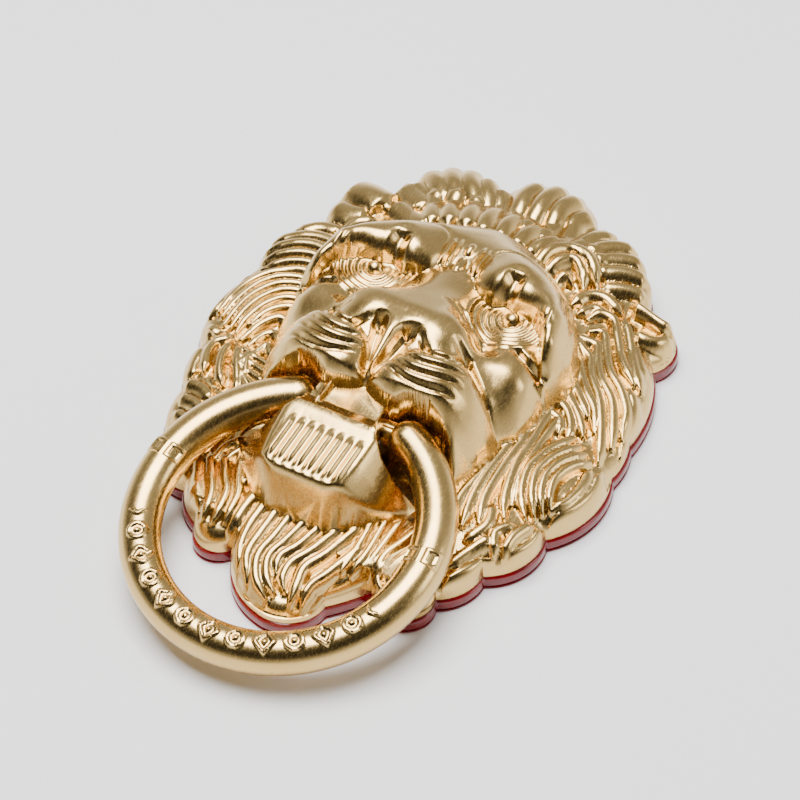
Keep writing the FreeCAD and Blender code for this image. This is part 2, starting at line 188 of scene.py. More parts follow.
def new_piece(name, points, faces):
    """A mesh object from arrays of points and faces."""
    mesh = bpy.data.meshes.new(name)
    mesh.from_pydata([tuple(point) for point in points], [], [tuple(face) for face in faces])
    mesh.validate()
    piece = bpy.data.objects.new(name, mesh)
    bpy.context.scene.collection.objects.link(piece)
    return piece


def combine(piece, tool, operation):
    """Adds a closed tool to a closed piece, or takes it away, and throws the tool away."""
    take_up(piece)
    modifier = piece.modifiers.new("combine", "BOOLEAN")
    modifier.operation = operation
    modifier.solver = "MANIFOLD"
    modifier.object = tool
    before = len(piece.data.vertices)
    bpy.ops.object.modifier_apply(modifier=modifier.name)
    if not piece.data.vertices or len(piece.data.vertices) == before:
        raise RuntimeError(f"{operation} of {tool.name} did nothing to {piece.name}")
    bpy.data.objects.remove(tool)


def cylinder(radius, low, high):
    """A closed cylinder between two points on one line."""
    put_down()
    low, high = Vector(low), Vector(high)
    along = high - low
    turn = along.to_track_quat("Z", "Y").to_euler()
    bpy.ops.mesh.primitive_cylinder_add(
        vertices=48, radius=radius, depth=along.length, location=(low + high) / 2, rotation=turn
    )
    bpy.ops.object.transform_apply(location=True, rotation=True, scale=True)
    return bpy.context.active_object


def block(low, high):
    """A closed box between two corners."""
    put_down()
    low, high = Vector(low), Vector(high)
    bpy.ops.mesh.primitive_cube_add(size=1, location=(low + high) / 2)
    bpy.context.active_object.scale = high - low
    bpy.ops.object.transform_apply(location=True, rotation=True, scale=True)
    return bpy.context.active_object


def finish_piece(piece, body, slot, material, smooth_angle, *nodes):
    """Smooths a piece's shading, gives it its finish and lets it ride in place of CAD nodes."""
    take_up(piece)
    bpy.ops.object.shade_smooth_by_angle(angle=smooth_angle)
    piece.data.materials.clear()
    piece.data.materials.append(material)
    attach(piece, body)
    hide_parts(*nodes)


# ------------------------------------------------------------------ outline and grid
def outline_of(node):
    """Angles and radii of a node's outline about Z, in mm, read from its foot."""
    mesh = frame["nodes"][node].data
    points = np.empty(len(mesh.vertices) * 3)
    mesh.vertices.foreach_get("co", points)
    points = points.reshape(-1, 3) / MM
    foot = points[points[:, 2] < points[:, 2].min() + 0.01]
    angle = np.arctan2(foot[:, 1], foot[:, 0])
    radius = np.hypot(foot[:, 0], foot[:, 1])
    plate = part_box("back_plate")
    half_x, half_y = plate[1][0] / MM + 1.0, plate[1][1] / MM + 1.0
    outside = (foot[:, 0] / half_x) ** 2 + (foot[:, 1] / half_y) ** 2 > 1
    order = np.argsort(angle[outside])
    return angle[outside][order], radius[outside][order]


OUTLINE = outline_of("lion_mask")
PAD_OUTLINE = outline_of("adhesive_pad")


def radius_at(angle, outline):
    """Radius of an outline at an angle, in mm."""
    return np.interp(angle, *outline, period=2 * math.pi)


def disc_grid(count, half_x, half_y, fit_outline):
    """A square grid of points bent to fill an ellipse, or the mask's outline, in mm."""
    line = np.linspace(-1, 1, count)
    a, b = np.meshgrid(line, line, indexing="ij")
    reach = np.maximum(np.abs(a), np.abs(b))
    wide = np.abs(a) > np.abs(b)
    with np.errstate(divide="ignore", invalid="ignore"):
        turn = np.where(
            wide,
            math.pi / 4 * b / a + np.where(a < 0, math.pi, 0),
            math.pi / 2 - math.pi / 4 * a / b + np.where(b < 0, math.pi, 0),
        )
    turn = np.nan_to_num(turn)
    x, y = half_x * np.cos(turn), half_y * np.sin(turn)
    grow = 1.0
    if fit_outline:
        grow = 1 + (radius_at(np.arctan2(y, x), OUTLINE) / np.hypot(x, y) - 1) * reach**4
    return x * reach * grow, y * reach * grow


def tube_faces(rows, columns):
    """Faces of a closed tube: rows of points joined one to the next, with a cap at each end."""
    index = np.arange(rows * columns).reshape(rows, columns)
    across = np.roll(index, -1, axis=1)
    quads = np.stack([index[:-1], across[:-1], across[1:], index[1:]], -1).reshape(-1, 4)
    return quads.tolist() + [index[0][::-1].tolist(), index[-1].tolist()]


def grid_solid(name, x, y, top, foot):
    """A closed block whose top is a grid of heights, with a wall and a flat foot. All in mm."""
    count = x.shape[0]
    index = np.arange(count * count).reshape(count, count)
    points = np.stack([x, y, top], -1).reshape(-1, 3)
    quads = np.stack([index[:-1, :-1], index[1:, :-1], index[1:, 1:], index[:-1, 1:]], -1).reshape(-1, 4)
    rim = np.concatenate([index[:-1, 0], index[-1, :-1], index[:0:-1, -1], index[0, :0:-1]])
    low = points[rim].copy()
    low[:, 2] = foot
    below = np.arange(len(rim)) + len(points)
    wall = np.stack([below, np.roll(below, -1), np.roll(rim, -1), rim], -1)
    faces = quads.tolist() + wall.tolist() + [below[::-1].tolist()]
    return new_piece(name, np.concatenate([points, low]) * MM, faces)


# ------------------------------------------------------------------ sculpture, in mm
# Places on the face that its smooth skin is drawn through: x, y and height. Each stands on both sides.
SKIN = [
    (0, 30, 16.5), (6, 29, 16), (12, 26.2, 15.2), (17, 22, 14.5), (21.5, 16.5, 14), (24.4, 9, 14),
    (24.6, 3, 11), (24.6, -5, 9.5), (22.4, -11, 9), (21, -18, 8.5), (20, -24, 8.5),
    # under the brow
    (0, 25, 18.2), (7, 24.5, 17.4), (13, 22.4, 16.6), (0, 20, 19.8),
    (8, 19.5, 17), (13.6, 18.8, 16.8), (18, 17, 16.4),
    (3.4, 16, 19), (0, 16, 19.8), (7.4, 14.6, 18.2), (13.8, 14.6, 18.4), (19.6, 13, 18),
    # socket, orbit and lids
    (8, 11.2, 18.1), (10, 8.8, 18), (13.2, 10.4, 18.5),
    (17, 9.6, 18.5), (21.4, 11.6, 18.2), (23, 7, 17.4),
    (20.2, 6, 18.2), (20.4, 2.6, 18.3), (10, 6.2, 17.8),
    (14, 5.8, 18.2), (17.6, 6.2, 18.3), (14, 2.6, 18.6),
    # cheek
    (11.4, 0.2, 19.2), (15, -1.6, 20), (19, -1.6, 19.2),
    (22, -2.2, 16.6), (17.2, -5.2, 18.6), (20.4, -6.6, 16),
    (23, -6, 12.6),
    # bridge and tip of the nose
    (0, 13, 20.6), (2.8, 12.6, 20.2), (5.2, 10, 19.6), (0, 9, 21.8),
    (7.5, 6.4, 18.9), (0, 4.5, 23.4), (4.5, 4.5, 22.7),
    (8.5, 3.4, 20.2), (0, 0.5, 25), (4, 0.5, 24.9), (7.8, 0.4, 24.2),
    (11.2, 0, 20.6), (0, -3, 26), (4, -3, 25.9),
    (8.2, -2.8, 25.2), (10.8, -3.4, 23.4), (8.8, -6, 24.4), (12.6, -4.4, 21.2), (5.6, -5.2, 25.7),
    # muzzle under the pads, and its flank
    (0, -8, 23.6), (0, -14, 22.4), (6, -10, 23.2), (12, -8, 21.8),
    (14.6, -12, 21.4), (17.2, -12, 18.2), (19.6, -14.4, 12.6),
    (16, -16, 19.8), (18, -19, 15), (10, -15, 22.6), (12, -18, 22.8), (5, -18, 22), (0, -18, 21),
]
# The brow's own skin, the edge where it rolls over into the sockets, and a shallow notch in it.
BROW_SKIN = [
    (0, 30, 16.5), (6, 29, 16), (12, 26.2, 15.2), (17, 22, 15.4),
    (21.5, 16.5, 15.6), (25, 9, 14.6), (25.2, 3, 13.6),
    (0, 25, 19.2), (7, 24.5, 19.4), (13, 22.4, 19), (0, 20, 20.4),
    (0, 14, 20.2), (3.2, 18, 20.4), (3.4, 14, 20.6),
    (7.6, 19.5, 22), (7.6, 15.6, 22.8), (14.4, 18.8, 21.6),
    (15.2, 15.6, 22.6), (19, 15, 21.8), (18.5, 17.6, 19.8),
    (21.6, 11.6, 21.6), (22.8, 6, 20.8), (22.4, 1, 19.4), (7.6, 10, 22), (15, 10, 21.8),
]
BROW_EDGE = [
    (0, 14.4), (2.6, 13.8), (4, 12.6), (6, 11.8), (8.2, 11.4),
    (10.9, 11.9), (14.2, 11.4), (17, 10.7), (19.4, 9),
    (20.8, 6.4), (21.8, 3.6), (22.8, 1.6), (24.4, 0.4), (27, -1),
]
BROW_NOTCH = [[(10.4, 9.4), (10.9, 12.4), (11, 16.6)]]
# Half the width of the face at each y.
FACE_HALF_WIDTH = [
    (-27, 17.6), (-22.4, 18.7), (-19.4, 19.7), (-14.4, 20.7), (-9.7, 21.6),
    (-7.2, 23.2), (-2.2, 24), (1.8, 23.7), (4.5, 24.6),
    (8.4, 25), (13.4, 23.3), (19.4, 20), (23.4, 15.6), (27.2, 10.5),
    (29.2, 5.5), (30, 0.5), (30.4, -8), (34, -60),
]
# Lofts stand on both sides: y, middle x, half width, top and how far the edge falls.
WHISKER_PAD = [
    (-19.6, 6.8, 5.4, 21.6, 3), (-18.8, 7, 6.2, 23.2, 3),
    (-17.6, 7.4, 6.9, 24.5, 3), (-16, 7.9, 7.2, 25.2, 3),
    (-13.5, 8.4, 7.2, 25.6, 3), (-11, 8.9, 6.9, 25.5, 3),
    (-9, 9.4, 6.2, 24.9, 3), (-7.6, 9.8, 4.8, 24, 2.6),
    (-6.2, 10.4, 2.8, 22.6, 2.4), (-5.2, 10.6, 1.2, 20.6, 2.4),
]
NOSE_COLUMN = [
    (-17.6, 0, 0.4, 21.2, 1.4), (-16, 0, 0.7, 22.4, 1.6),
    (-13, 0, 0.9, 23.8, 1.6), (-10, 0, 1.1, 25, 1.6),
    (-8.2, 0, 1.3, 25.8, 1.6), (-6.6, 0, 1.9, 26, 1.2), (-5.4, 0, 3.2, 26, 1),
    (-4.4, 0, 5.6, 26, 0.9), (-3.2, 0, 6.4, 25.9, 0.8), (-2, 0, 6, 25.4, 0.8),
]
# The upper lip's edge: y at each x. The chin: height and half width at each y, back edge's y at each x.
LIP_LINE = [
    (0, -17), (2, -18.2), (4.5, -19), (6.2, -19.2), (7.6, -18.4),
    (9.4, -17.6), (12, -17.2), (14.6, -17.6), (16.8, -19),
    (18.4, -21.2), (19.6, -23.6), (21, -27), (23, -34),
]
CHIN_TOP = [
    (-42, 15.6), (-37, 17.6), (-32, 18.8), (-28, 19.7), (-26, 20.1), (-24.8, 20.2), (-23.6, 19.4),
    (-22.4, 19), (-17, 19.4),
]
CHIN_SIDE = [(-42, 5), (-38, 5.6), (-36, 6.6), (-32, 7.9), (-27, 9), (-15, 9.2)]
CHIN_BACK = [
    (0, -15), (6, -15), (6.5, -21), (7, -24.2), (8, -26), (10, -28), (12.6, -29.2),
    (17, -29.2), (20, -29),
]


def draped(x, y, places):
    """A thin, smooth skin through scattered places and their mirror images."""
    places = np.array(places + [(-px, py, height) for px, py, height in places if px > 0], float)
    spots, heights = places[:, :2], places[:, 2]

    def bend(px, py):
        square = (px[:, None] - spots[:, 0]) ** 2 + (py[:, None] - spots[:, 1]) ** 2
        return 0.5 * square * np.log(square + 1e-9)

    count = len(places)
    system = np.zeros((count + 3, count + 3))
    system[:count, :count] = bend(spots[:, 0], spots[:, 1])
    system[:count, count:] = np.c_[np.ones(count), spots]
    system[count:, :count] = system[:count, count:].T
    weights = np.linalg.solve(system, np.r_[heights, 0, 0, 0])
    flat = weights[count] + weights[count + 1] * x + weights[count + 2] * y
    return flat + bend(x, y) @ weights[:count]


def loft(x, y, stations):
    """Height of a long mass whose middle, width and top change along y, on both sides of the face."""
    squareness, end_fall = 2.6, 6.0
    at, middle, half, top, fall = np.array(stations, float).T
    reach = np.abs(np.abs(x) - np.interp(y, at, middle)) / np.interp(y, at, half)
    height = np.interp(y, at, top) - np.interp(y, at, fall) * np.minimum(reach, 3) ** squareness
    beyond = np.clip(np.maximum(at[0] - y, y - at[-1]), 0, None)
    return height - end_fall * beyond


def soft_min(heights, sharp):
    """The lowest of several surfaces, with the edges between them rounded."""
    heights = np.array(heights)
    low = heights.min(0)
    return low - np.log(np.exp(-sharp * (heights - low)).sum(0)) / sharp


def smooth_route(route, step=0.7):
    """A smooth curve through listed points, as closely spaced points."""
    route = np.array(route, float)
    padded = np.vstack([2 * route[0] - route[1], route, 2 * route[-1] - route[-2]])
    points = []
    for p0, p1, p2, p3 in zip(padded, padded[1:], padded[2:], padded[3:]):
        count = max(2, int(np.hypot(*(p2 - p1)) / step))
        for t in np.arange(count) / count:
            square = (2 * p0 - 5 * p1 + 4 * p2 - p3) * t**2
            cube = (3 * p1 - p0 - 3 * p2 + p3) * t**3
            points.append(0.5 * (2 * p1 + (p2 - p0) * t + square + cube))
    points.append(route[-1])
    return np.array(points)


def from_segment(x, y, start, end):
    """Distance of each point from a straight segment, and how far along it from 0 to 1."""
    step = end - start
    px, py = x - start[0], y - start[1]
    t = np.clip((px * step[0] + py * step[1]) / max(step @ step, 1e-9), 0, 1)
    return np.hypot(px - t * step[0], py - t * step[1]), t


def along_route(x, y, route, reach):
    """Which points lie within reach of a route, how far from it, and how far along it from 0 to 1."""
    line = smooth_route(route)
    low, high = line.min(0) - reach, line.max(0) + reach
    near = np.flatnonzero((x > low[0]) & (x < high[0]) & (y > low[1]) & (y < high[1]))
    best = np.full(len(near), 1e9)
    place = np.zeros(len(near))
    run = np.r_[0, np.cumsum(np.hypot(*np.diff(line, axis=0).T))]
    for start, end, gone, reached in zip(line, line[1:], run, run[1:]):
        away, t = from_segment(x[near], y[near], start, end)
        closer = away < best
        best[closer] = away[closer]
        place[closer] = (gone + t[closer] * (reached - gone)) / run[-1]
    inside = best < reach
    return near[inside], best[inside], place[inside]


def tucked(route):
    """A strand that starts by the face or high in the crown is drawn on under it, so no end is loose."""
    by_the_face, high_in_crown, run_under = 4.5, 39, 5.0
    (x0, y0), (x1, y1) = route[:2]
    if abs(x0) - np.interp(y0, *np.array(FACE_HALF_WIDTH, float).T) > by_the_face and y0 < high_in_crown:
        return route
    back = run_under / math.hypot(x1 - x0, y1 - y0)
    return [(x0 - back * (x1 - x0), y0 - back * (y1 - y0)), *route]


def strand_relief(x, y, strands):
    """Height of rounded strands above the surface they lie on, as a share of the full strand height."""
    lift = np.zeros_like(x)
    spread = settings("knocker_mask").strand_spread
    for route, half_width, level in strands:
        half = spread * half_width
        near, away, place = along_route(x, y, tucked(route), half)
        taper = np.minimum(1, np.minimum(place, 1 - place) * 5 + 0.4)
        across = np.clip(away / (half * taper), 0, 1)
        lift[near] = np.maximum(lift[near], level * (1 - across**2) ** 0.75 * (0.4 + 0.6 * taper))
    return lift


def carve(x, y, height, routes, half, depth):
    """Lowers (or with a negative depth raises) a surface along routes, with a rounded section."""
    for route in routes:
        near, away, place = along_route(x, y, route, half)
        ends = np.clip(np.minimum(place, 1 - place) * 5 + 0.25, 0, 1)
        height[near] -= depth * ends * (0.5 + 0.5 * np.cos(math.pi * np.clip(away / half, 0, 1)))
    return height


def both_sides(routes):
    """Routes and their mirror images in the middle plane."""
    return list(routes) + [[(-px, py) for px, py in route] for route in routes]


def blend_max(first, second, width):
    """The higher of two surfaces, with the crease between them rounded over a width."""
    share = np.clip(0.5 + (first - second) / (2 * width), 0, 1)
    return second + (first - second) * share + width * share * (1 - share)


# Locks of the mane. Each strand is (route, half width, level), its level a share of strand_height.
CROWN = [
    # middle curl
    ([(-3, 43.4), (-3.6, 47.5), (-3, 52.4)], 1.9, 1.23),
    ([(0.8, 43.2), (0.6, 48), (1.4, 53.4)], 1.9, 1.31),
    ([(4.6, 42.6), (4.2, 47.2), (5.4, 52.4)], 1.9, 1.31),
    ([(8.2, 42), (7.8, 46), (9.2, 50)], 1.7, 1.23),
    # right fan
    ([(10.8, 41), (12.2, 44.6), (14.4, 47.2)], 1.7, 0.98),
    ([(12.8, 38.8), (16.2, 43), (19.4, 45.6)], 1.7, 0.98),
    ([(15.2, 37), (19, 40.6), (22.8, 42.8)], 1.6, 0.98),
    ([(17.2, 35), (21, 38), (25, 39.6)], 1.5, 0.98),
    ([(19.2, 32.6), (22.6, 34.8), (26.2, 36.2)], 1.4, 0.9),
    # shell lock over the right brow
    ([(7.4, 29.4), (8.2, 34), (10.8, 37.6), (15, 36.4), (18.4, 32.4)], 1.35, 1.23),
    ([(9.6, 28.2), (10.8, 32.6), (12.8, 34.6), (15.4, 32.8), (16.8, 30.2)], 1.2, 1.15),
    ([(11.9, 27.2), (12.8, 30.6), (14.6, 30.2)], 1, 1.07),
    # second shell lock, running into the side locks
    ([(16.6, 26.2), (17.6, 29.6), (20.6, 31.2), (24.4, 29.6)], 1.3, 1.15),
    ([(18.4, 24.8), (20.2, 27.8), (23.4, 27.4)], 1.1, 1.07),
    # left fan
    ([(-19.2, 42.6), (-21.6, 45.4), (-23, 47.4)], 2, 1.07),
    ([(-16.4, 43.6), (-18.6, 47.2), (-19.6, 50.2)], 2, 1.15),
    ([(-12.6, 44), (-14.6, 47), (-15.6, 50.2)], 2, 1.15),
    ([(-9, 43.6), (-10.4, 46.4), (-11.4, 48.8)], 1.8, 1.07),
    ([(-6.2, 43), (-7.2, 45.4), (-7.8, 47)], 1.5, 0.98),
    # inner row, from the hairline up
    ([(-14.4, 31), (-17, 36.6), (-18.4, 41)], 2, 1.39),
    ([(-11, 31.5), (-13.6, 37.6), (-14.4, 42.2)], 2, 1.48),
    ([(-7.6, 31.5), (-9.6, 38), (-10, 42.2)], 2, 1.48),
    ([(-4, 31), (-5.6, 37.6), (-5.6, 41.6)], 1.9, 1.48),
    ([(-0.6, 31), (-1.4, 37), (-1.2, 41)], 1.8, 1.48),
    ([(2.6, 31), (2.8, 36.4), (3.4, 40.2)], 1.7, 1.39),
    ([(5.4, 30.6), (6.2, 35.4), (7.6, 39)], 1.5, 1.31),
    # lobes between the left ear and the fan
    ([(-18, 36), (-21.6, 38.8), (-24.6, 41.4)], 2.6, 1.31),
    ([(-15, 29.6), (-19.6, 32.6), (-24, 35)], 2.4, 1.39),
]
EARS = [
    ([(-24.6, 34), (-29, 35.4), (-33.6, 37)], 3.3, 1.7),
    ([(-26.5, 29.6), (-30, 29.2), (-33.6, 30.4)], 2.6, 1.3),
    ([(25.6, 32), (29.4, 32), (33.4, 31.4)], 1.6, 1.9),
    ([(28.6, 26.6), (32.2, 27.6), (34, 30.4)], 1.5, 1.3),
]
RIGHT_MANE = [
    ([(20.4, 24.6), (21.6, 27.2), (24.2, 27.4), (26.6, 24), (29.8, 19.6), (33.6, 15.8)], 1.15, 1.1),
    ([(25.4, 29), (27.6, 26.4), (30.4, 22.2), (33.6, 17.6), (35.2, 15.6)], 1.2, 1.05),
    ([(29.4, 24.6), (32, 21.6), (34, 19.2)], 1.3, 0.9),
    ([(21.9, 22.4), (24, 23.6), (26.2, 20.4), (29, 16), (32.8, 12.8), (35.8, 9),
      (37.4, 4.4)], 1.15, 1.1),
    ([(22.4, 20.2), (24.4, 20.4), (26, 17.4), (28.6, 13.4), (32.2, 10.2), (34.4, 6.6),
      (36.6, 1.6)], 1.1, 1),
    ([(33.6, 14.4), (36.4, 11), (38.2, 6.6), (38.4, 2)], 1.1, 0.9),
    ([(22.9, 18), (25, 16.6), (26.8, 13), (30.2, 9.2), (32.4, 5.8), (34.6, 1.4),
      (36.2, -2.6)], 1.1, 1.05),
    ([(23.6, 15), (25.2, 12.6), (27.8, 9.2), (31, 6.2), (33, 2.2)], 1.1, 1),
    ([(24, 11.6), (25.6, 9.4), (28.2, 6.6), (30.6, 4.4)], 1.1, 1),
    ([(24.4, 8.2), (26.6, 6), (29.6, 3.2), (31.8, 0.4)], 1.05, 1),
    ([(25, 4.8), (27.4, 3.4), (29.4, 0.6), (29.8, -1.8)], 1.05, 1),
    ([(25.2, 1.8), (27.2, 1), (28.2, -1.6)], 1, 0.95),
    # leaf-shaped swirl
    ([(30.8, -0.6), (28.4, -6), (27.4, -11), (28.6, -16), (31.4, -19.8)], 1, 1.1),
    ([(32.4, -1.8), (30, -6.4), (29, -11), (30.2, -15.4), (32.6, -18.8)], 1, 1.1),
    ([(34, -2.8), (31.6, -7), (30.7, -11), (31.6, -14.8), (33.4, -17.6)], 1, 1.15),
    ([(35.4, -4), (33.3, -7.4), (32.4, -11), (33, -14.2), (34.2, -16.4)], 0.95, 1.2),
    ([(36.2, -5.4), (36.6, -9.4), (36, -13.4), (34.6, -16.4)], 1.1, 1.15),
    ([(37.6, -4.2), (38.5, -8.6), (37.8, -13), (35.4, -17.8)], 1.15, 1.1),
    # strands beside the cheek
    ([(24.8, -0.4), (25.2, -6), (25.4, -12), (27.2, -19), (28.8, -22)], 1.05, 1),
    ([(26.6, -1.6), (26.6, -7), (26.9, -13), (28.6, -19)], 0.9, 0.95),
    ([(23.9, -8.2), (23.8, -14), (24.2, -20), (25.6, -25)], 1.05, 1.05),
    ([(22.4, -11.4), (22.2, -16), (22.5, -21), (23.6, -27)], 1.05, 1.05),
    ([(21.4, -17), (20.9, -22), (21.6, -27.6)], 1, 1),
    ([(26, -20.6), (27, -24.6), (25.4, -29)], 1.1, 0.95),
    # lobes low on the right
    ([(35, -19.4), (35, -23.4), (33, -28.4)], 1.3, 1.15),
    ([(33.2, -20.4), (31.8, -24.2), (32, -28)], 1.1, 1.1),
    ([(30.8, -22.4), (29, -25.4), (30.4, -28.6)], 1.1, 1.05),
    ([(28.8, -26.6), (27, -30.4), (25.4, -34.8)], 1.2, 1.1),
    ([(30.4, -29.6), (28.6, -33.4), (26.4, -37.6)], 1.3, 1.1),
]
LEFT_MANE = [
    ([(-24.4, 29.4), (-27.4, 27.8), (-27.9, 24.2), (-26.4, 20.8)], 1.3, 1.2),
    ([(-24, 26.8), (-25.2, 24.4), (-24.8, 21.4)], 1.1, 1.1),
    ([(-28.6, 24.6), (-32.6, 24.6), (-36.6, 22.4)], 1.6, 1),
    ([(-25.6, 20.6), (-31, 21.3), (-36, 20), (-38.9, 18)], 1.35, 1.05),
    ([(-25.2, 17.8), (-31, 18.5), (-36, 17), (-38.6, 15)], 1.25, 1.05),
    ([(-24.6, 15.4), (-30, 15.9), (-35, 14.2), (-37.6, 12.2)], 1.1, 1.05),
    ([(-24.2, 13.2), (-29, 13.7), (-33.4, 12.2), (-36.4, 9.6)], 1, 1.05),
    ([(-23.8, 11.3), (-28.6, 11.7), (-32.8, 10), (-35.8, 6.8), (-37.2, 2.6),
      (-37.4, -3.2)], 1, 1.05),
    ([(-36.8, 7.8), (-38.2, 4.4), (-38.5, 0), (-38.8, -4)], 0.95, 0.9),
    ([(-23.4, 9.5), (-28, 9.8), (-31.8, 8.2), (-34.3, 4.8), (-35.6, 0.2), (-35.9, -4.4)], 0.95, 1.05),
    ([(-23.2, 7.7), (-27.4, 8), (-30.7, 6.4), (-33, 3), (-34.1, -1),
      (-34.4, -6.4)], 0.95, 1.05),
    ([(-23, 5.9), (-26.8, 6.2), (-29.6, 4.6), (-31.6, 1.4), (-32.6, -2.4),
      (-32.8, -6.6)], 0.95, 1.05),
    ([(-21.2, 2.2), (-24.2, 4.2), (-27.6, 3.4), (-30, 0.2), (-31.2, -4.2),
      (-31.2, -7.4)], 0.95, 1.05),
    ([(-29.8, -4.8), (-28.4, -0.8), (-25.4, 1.9), (-22.9, 0.1), (-21.2, -3.4)], 1, 1.1),
    ([(-29.4, -8.6), (-28, -4), (-25.7, -1.2), (-23.6, -2.9), (-21.4, -6.2)], 1, 1.1),
    ([(-27.3, -9.6), (-26.2, -5.8), (-24.4, -5), (-22.4, -7.6), (-20.4, -8.4)], 1, 1.1),
    ([(-25.4, -10.8), (-24.6, -8), (-23, -9.6), (-20.6, -10.6)], 0.9, 1),
    # steps beside the muzzle
    ([(-23.6, -11.6), (-19.6, -12.6)], 0.8, 0.95),
    ([(-23.8, -13.2), (-19.8, -14.3)], 0.8, 0.95),
    ([(-23.8, -14.8), (-20.2, -16)], 0.8, 0.95),
    ([(-23.4, -16.4), (-20.4, -17.8)], 0.8, 0.95),
    ([(-22.8, -18.2), (-20.6, -20.4), (-20.6, -25)], 0.9, 0.95),
    # leaf lock
    ([(-30.7, -9), (-33.2, -10.6), (-33, -14), (-31.2, -17.8)], 1.05, 1.15),
    ([(-30.4, -10), (-30.2, -13.4), (-28.6, -17), (-26.6, -19.2)], 1.05, 1.15),
    ([(-28.8, -10.2), (-27.4, -13.2), (-25, -17), (-23.8, -19.4)], 1, 1.05),
    ([(-26.6, -10.8), (-25.2, -13.6), (-24, -16)], 0.85, 1),
    # lobes low on the left
    ([(-35.4, -7), (-35.9, -8.6)], 1.9, 1.1),
    ([(-35, -12.4), (-34.6, -16.6), (-33.4, -19.4)], 1.5, 0.8),
    ([(-33, -20.8), (-30, -21), (-26.6, -22.8)], 1.4, 1.1),
    ([(-32, -24), (-29.4, -24.2), (-26.6, -25.6)], 1.3, 1),
    ([(-31, -27.2), (-28.6, -28), (-26, -29.4)], 1.3, 1),
    ([(-29.4, -31), (-27, -32.6), (-25.4, -35.2)], 1.4, 0.9),
    ([(-24.6, -22), (-23.6, -26.4), (-23.4, -31)], 1.2, 0.95),
]
BEARD = [
    ([(-8.9, -38.6), (-9, -42.6), (-8.2, -46.4)], 1.2, 1.05),
    ([(-6.4, -39.4), (-6.6, -43.5), (-6, -48), (-4, -51.4)], 1.25, 1.1),
    ([(-3.9, -40), (-4.1, -44), (-4, -48.4), (-1.6, -52.6)], 1.2, 1.1),
    ([(-1.4, -40.2), (-1.7, -44), (-2.2, -48), (-0.2, -51.8), (2.6, -53.8)], 1.15, 1.1),
    ([(1.2, -40.2), (0.4, -44), (-0.5, -47.4), (1, -50.6), (3.4, -52.4)], 1.1, 1.1),
    ([(3.8, -40), (2.8, -43.6), (1.2, -46.8), (2.2, -49.6)], 1.1, 1.1),
    ([(6.4, -39.8), (5.2, -43.4), (3.4, -47), (3.6, -49.8), (4.9, -51.4)], 1.1, 1.1),
    ([(8.7, -39), (7.5, -43), (5.8, -46.6), (6.2, -49.6), (6.7, -52.8)], 1.15, 1.1),
    ([(10.6, -42.6), (9.4, -46.2), (8.2, -49.2), (8.6, -52)], 1.1, 1.05),
    ([(11.2, -35), (11.4, -39.6), (11.2, -44.4)], 1, 1.05),
    ([(13, -34.4), (13.2, -39), (12.8, -43.8)], 1, 1.05),
    ([(14.9, -33.8), (14.7, -37), (14.4, -41.2)], 1, 1.05),
    ([(17.2, -34.8), (15.9, -38.6), (16.4, -42.6), (18.6, -44)], 1.05, 1.1),
    ([(19, -36.4), (18, -39.4), (18.6, -41.8), (20.6, -42.6)], 1, 1.05),
    ([(20.4, -33), (20.8, -37), (22.4, -40.6)], 1.1, 0.9),
    ([(22.4, -31.4), (23.2, -35.4), (23.8, -39.2)], 1.1, 0.9),
    # left lobe, with strands round it
    ([(-20, -37.6), (-18.2, -41), (-16, -44)], 1.25, 1.1),
    ([(-17.8, -37), (-15.6, -40.4), (-14.6, -44.6)], 1.2, 1.15),
    ([(-15.4, -36.4), (-13.2, -39.6), (-12.4, -44.8)], 1.15, 1.15),
    ([(-13, -36), (-11.2, -39.4), (-10.6, -44.2)], 1.1, 1.1),
    ([(-16.9, -28.4), (-18.8, -31.2), (-19, -35.2)], 1, 1),
    ([(-15.8, -30.2), (-16.9, -32.6), (-16.8, -35.4)], 0.95, 1),
    ([(-14.2, -31.8), (-14.8, -34.4)], 0.95, 1),
    ([(-12.2, -33.4), (-11.6, -36.8)], 0.95, 1),
    ([(-21.4, -29.6), (-22, -33.2), (-21.4, -36.4)], 1.1, 0.95),
    ([(-24, -30.4), (-24.2, -34.4), (-22.8, -37.6)], 1.1, 0.9),
]
# Raised cushions that groups of strands lie on: (middle x, middle y, half x, half y, rise).
CUSHIONS = [
    (-2, 33, 17, 8, 2.6), (-15, 45, 10, 6.5, 1.6), (1, 48, 8, 7, 1.8),
    (18, 40, 9, 8, 1.4), (12, 35, 6.5, 6, 1.2), (-30, 34, 6, 6, 0.6),
    (-33, 18, 8, 8, 0.9), (-32, 2, 8, 9, 0.8), (33, 12, 7, 12, 0.8),
    (33.5, -10, 7, 9.5, 1.1), (31, -25, 6, 7, 0.6),
    (2, -46, 9, 8.5, 0.3), (-14, -40, 7, 6.5, 0.3), (-30, -14, 6, 6, 0.6),
]
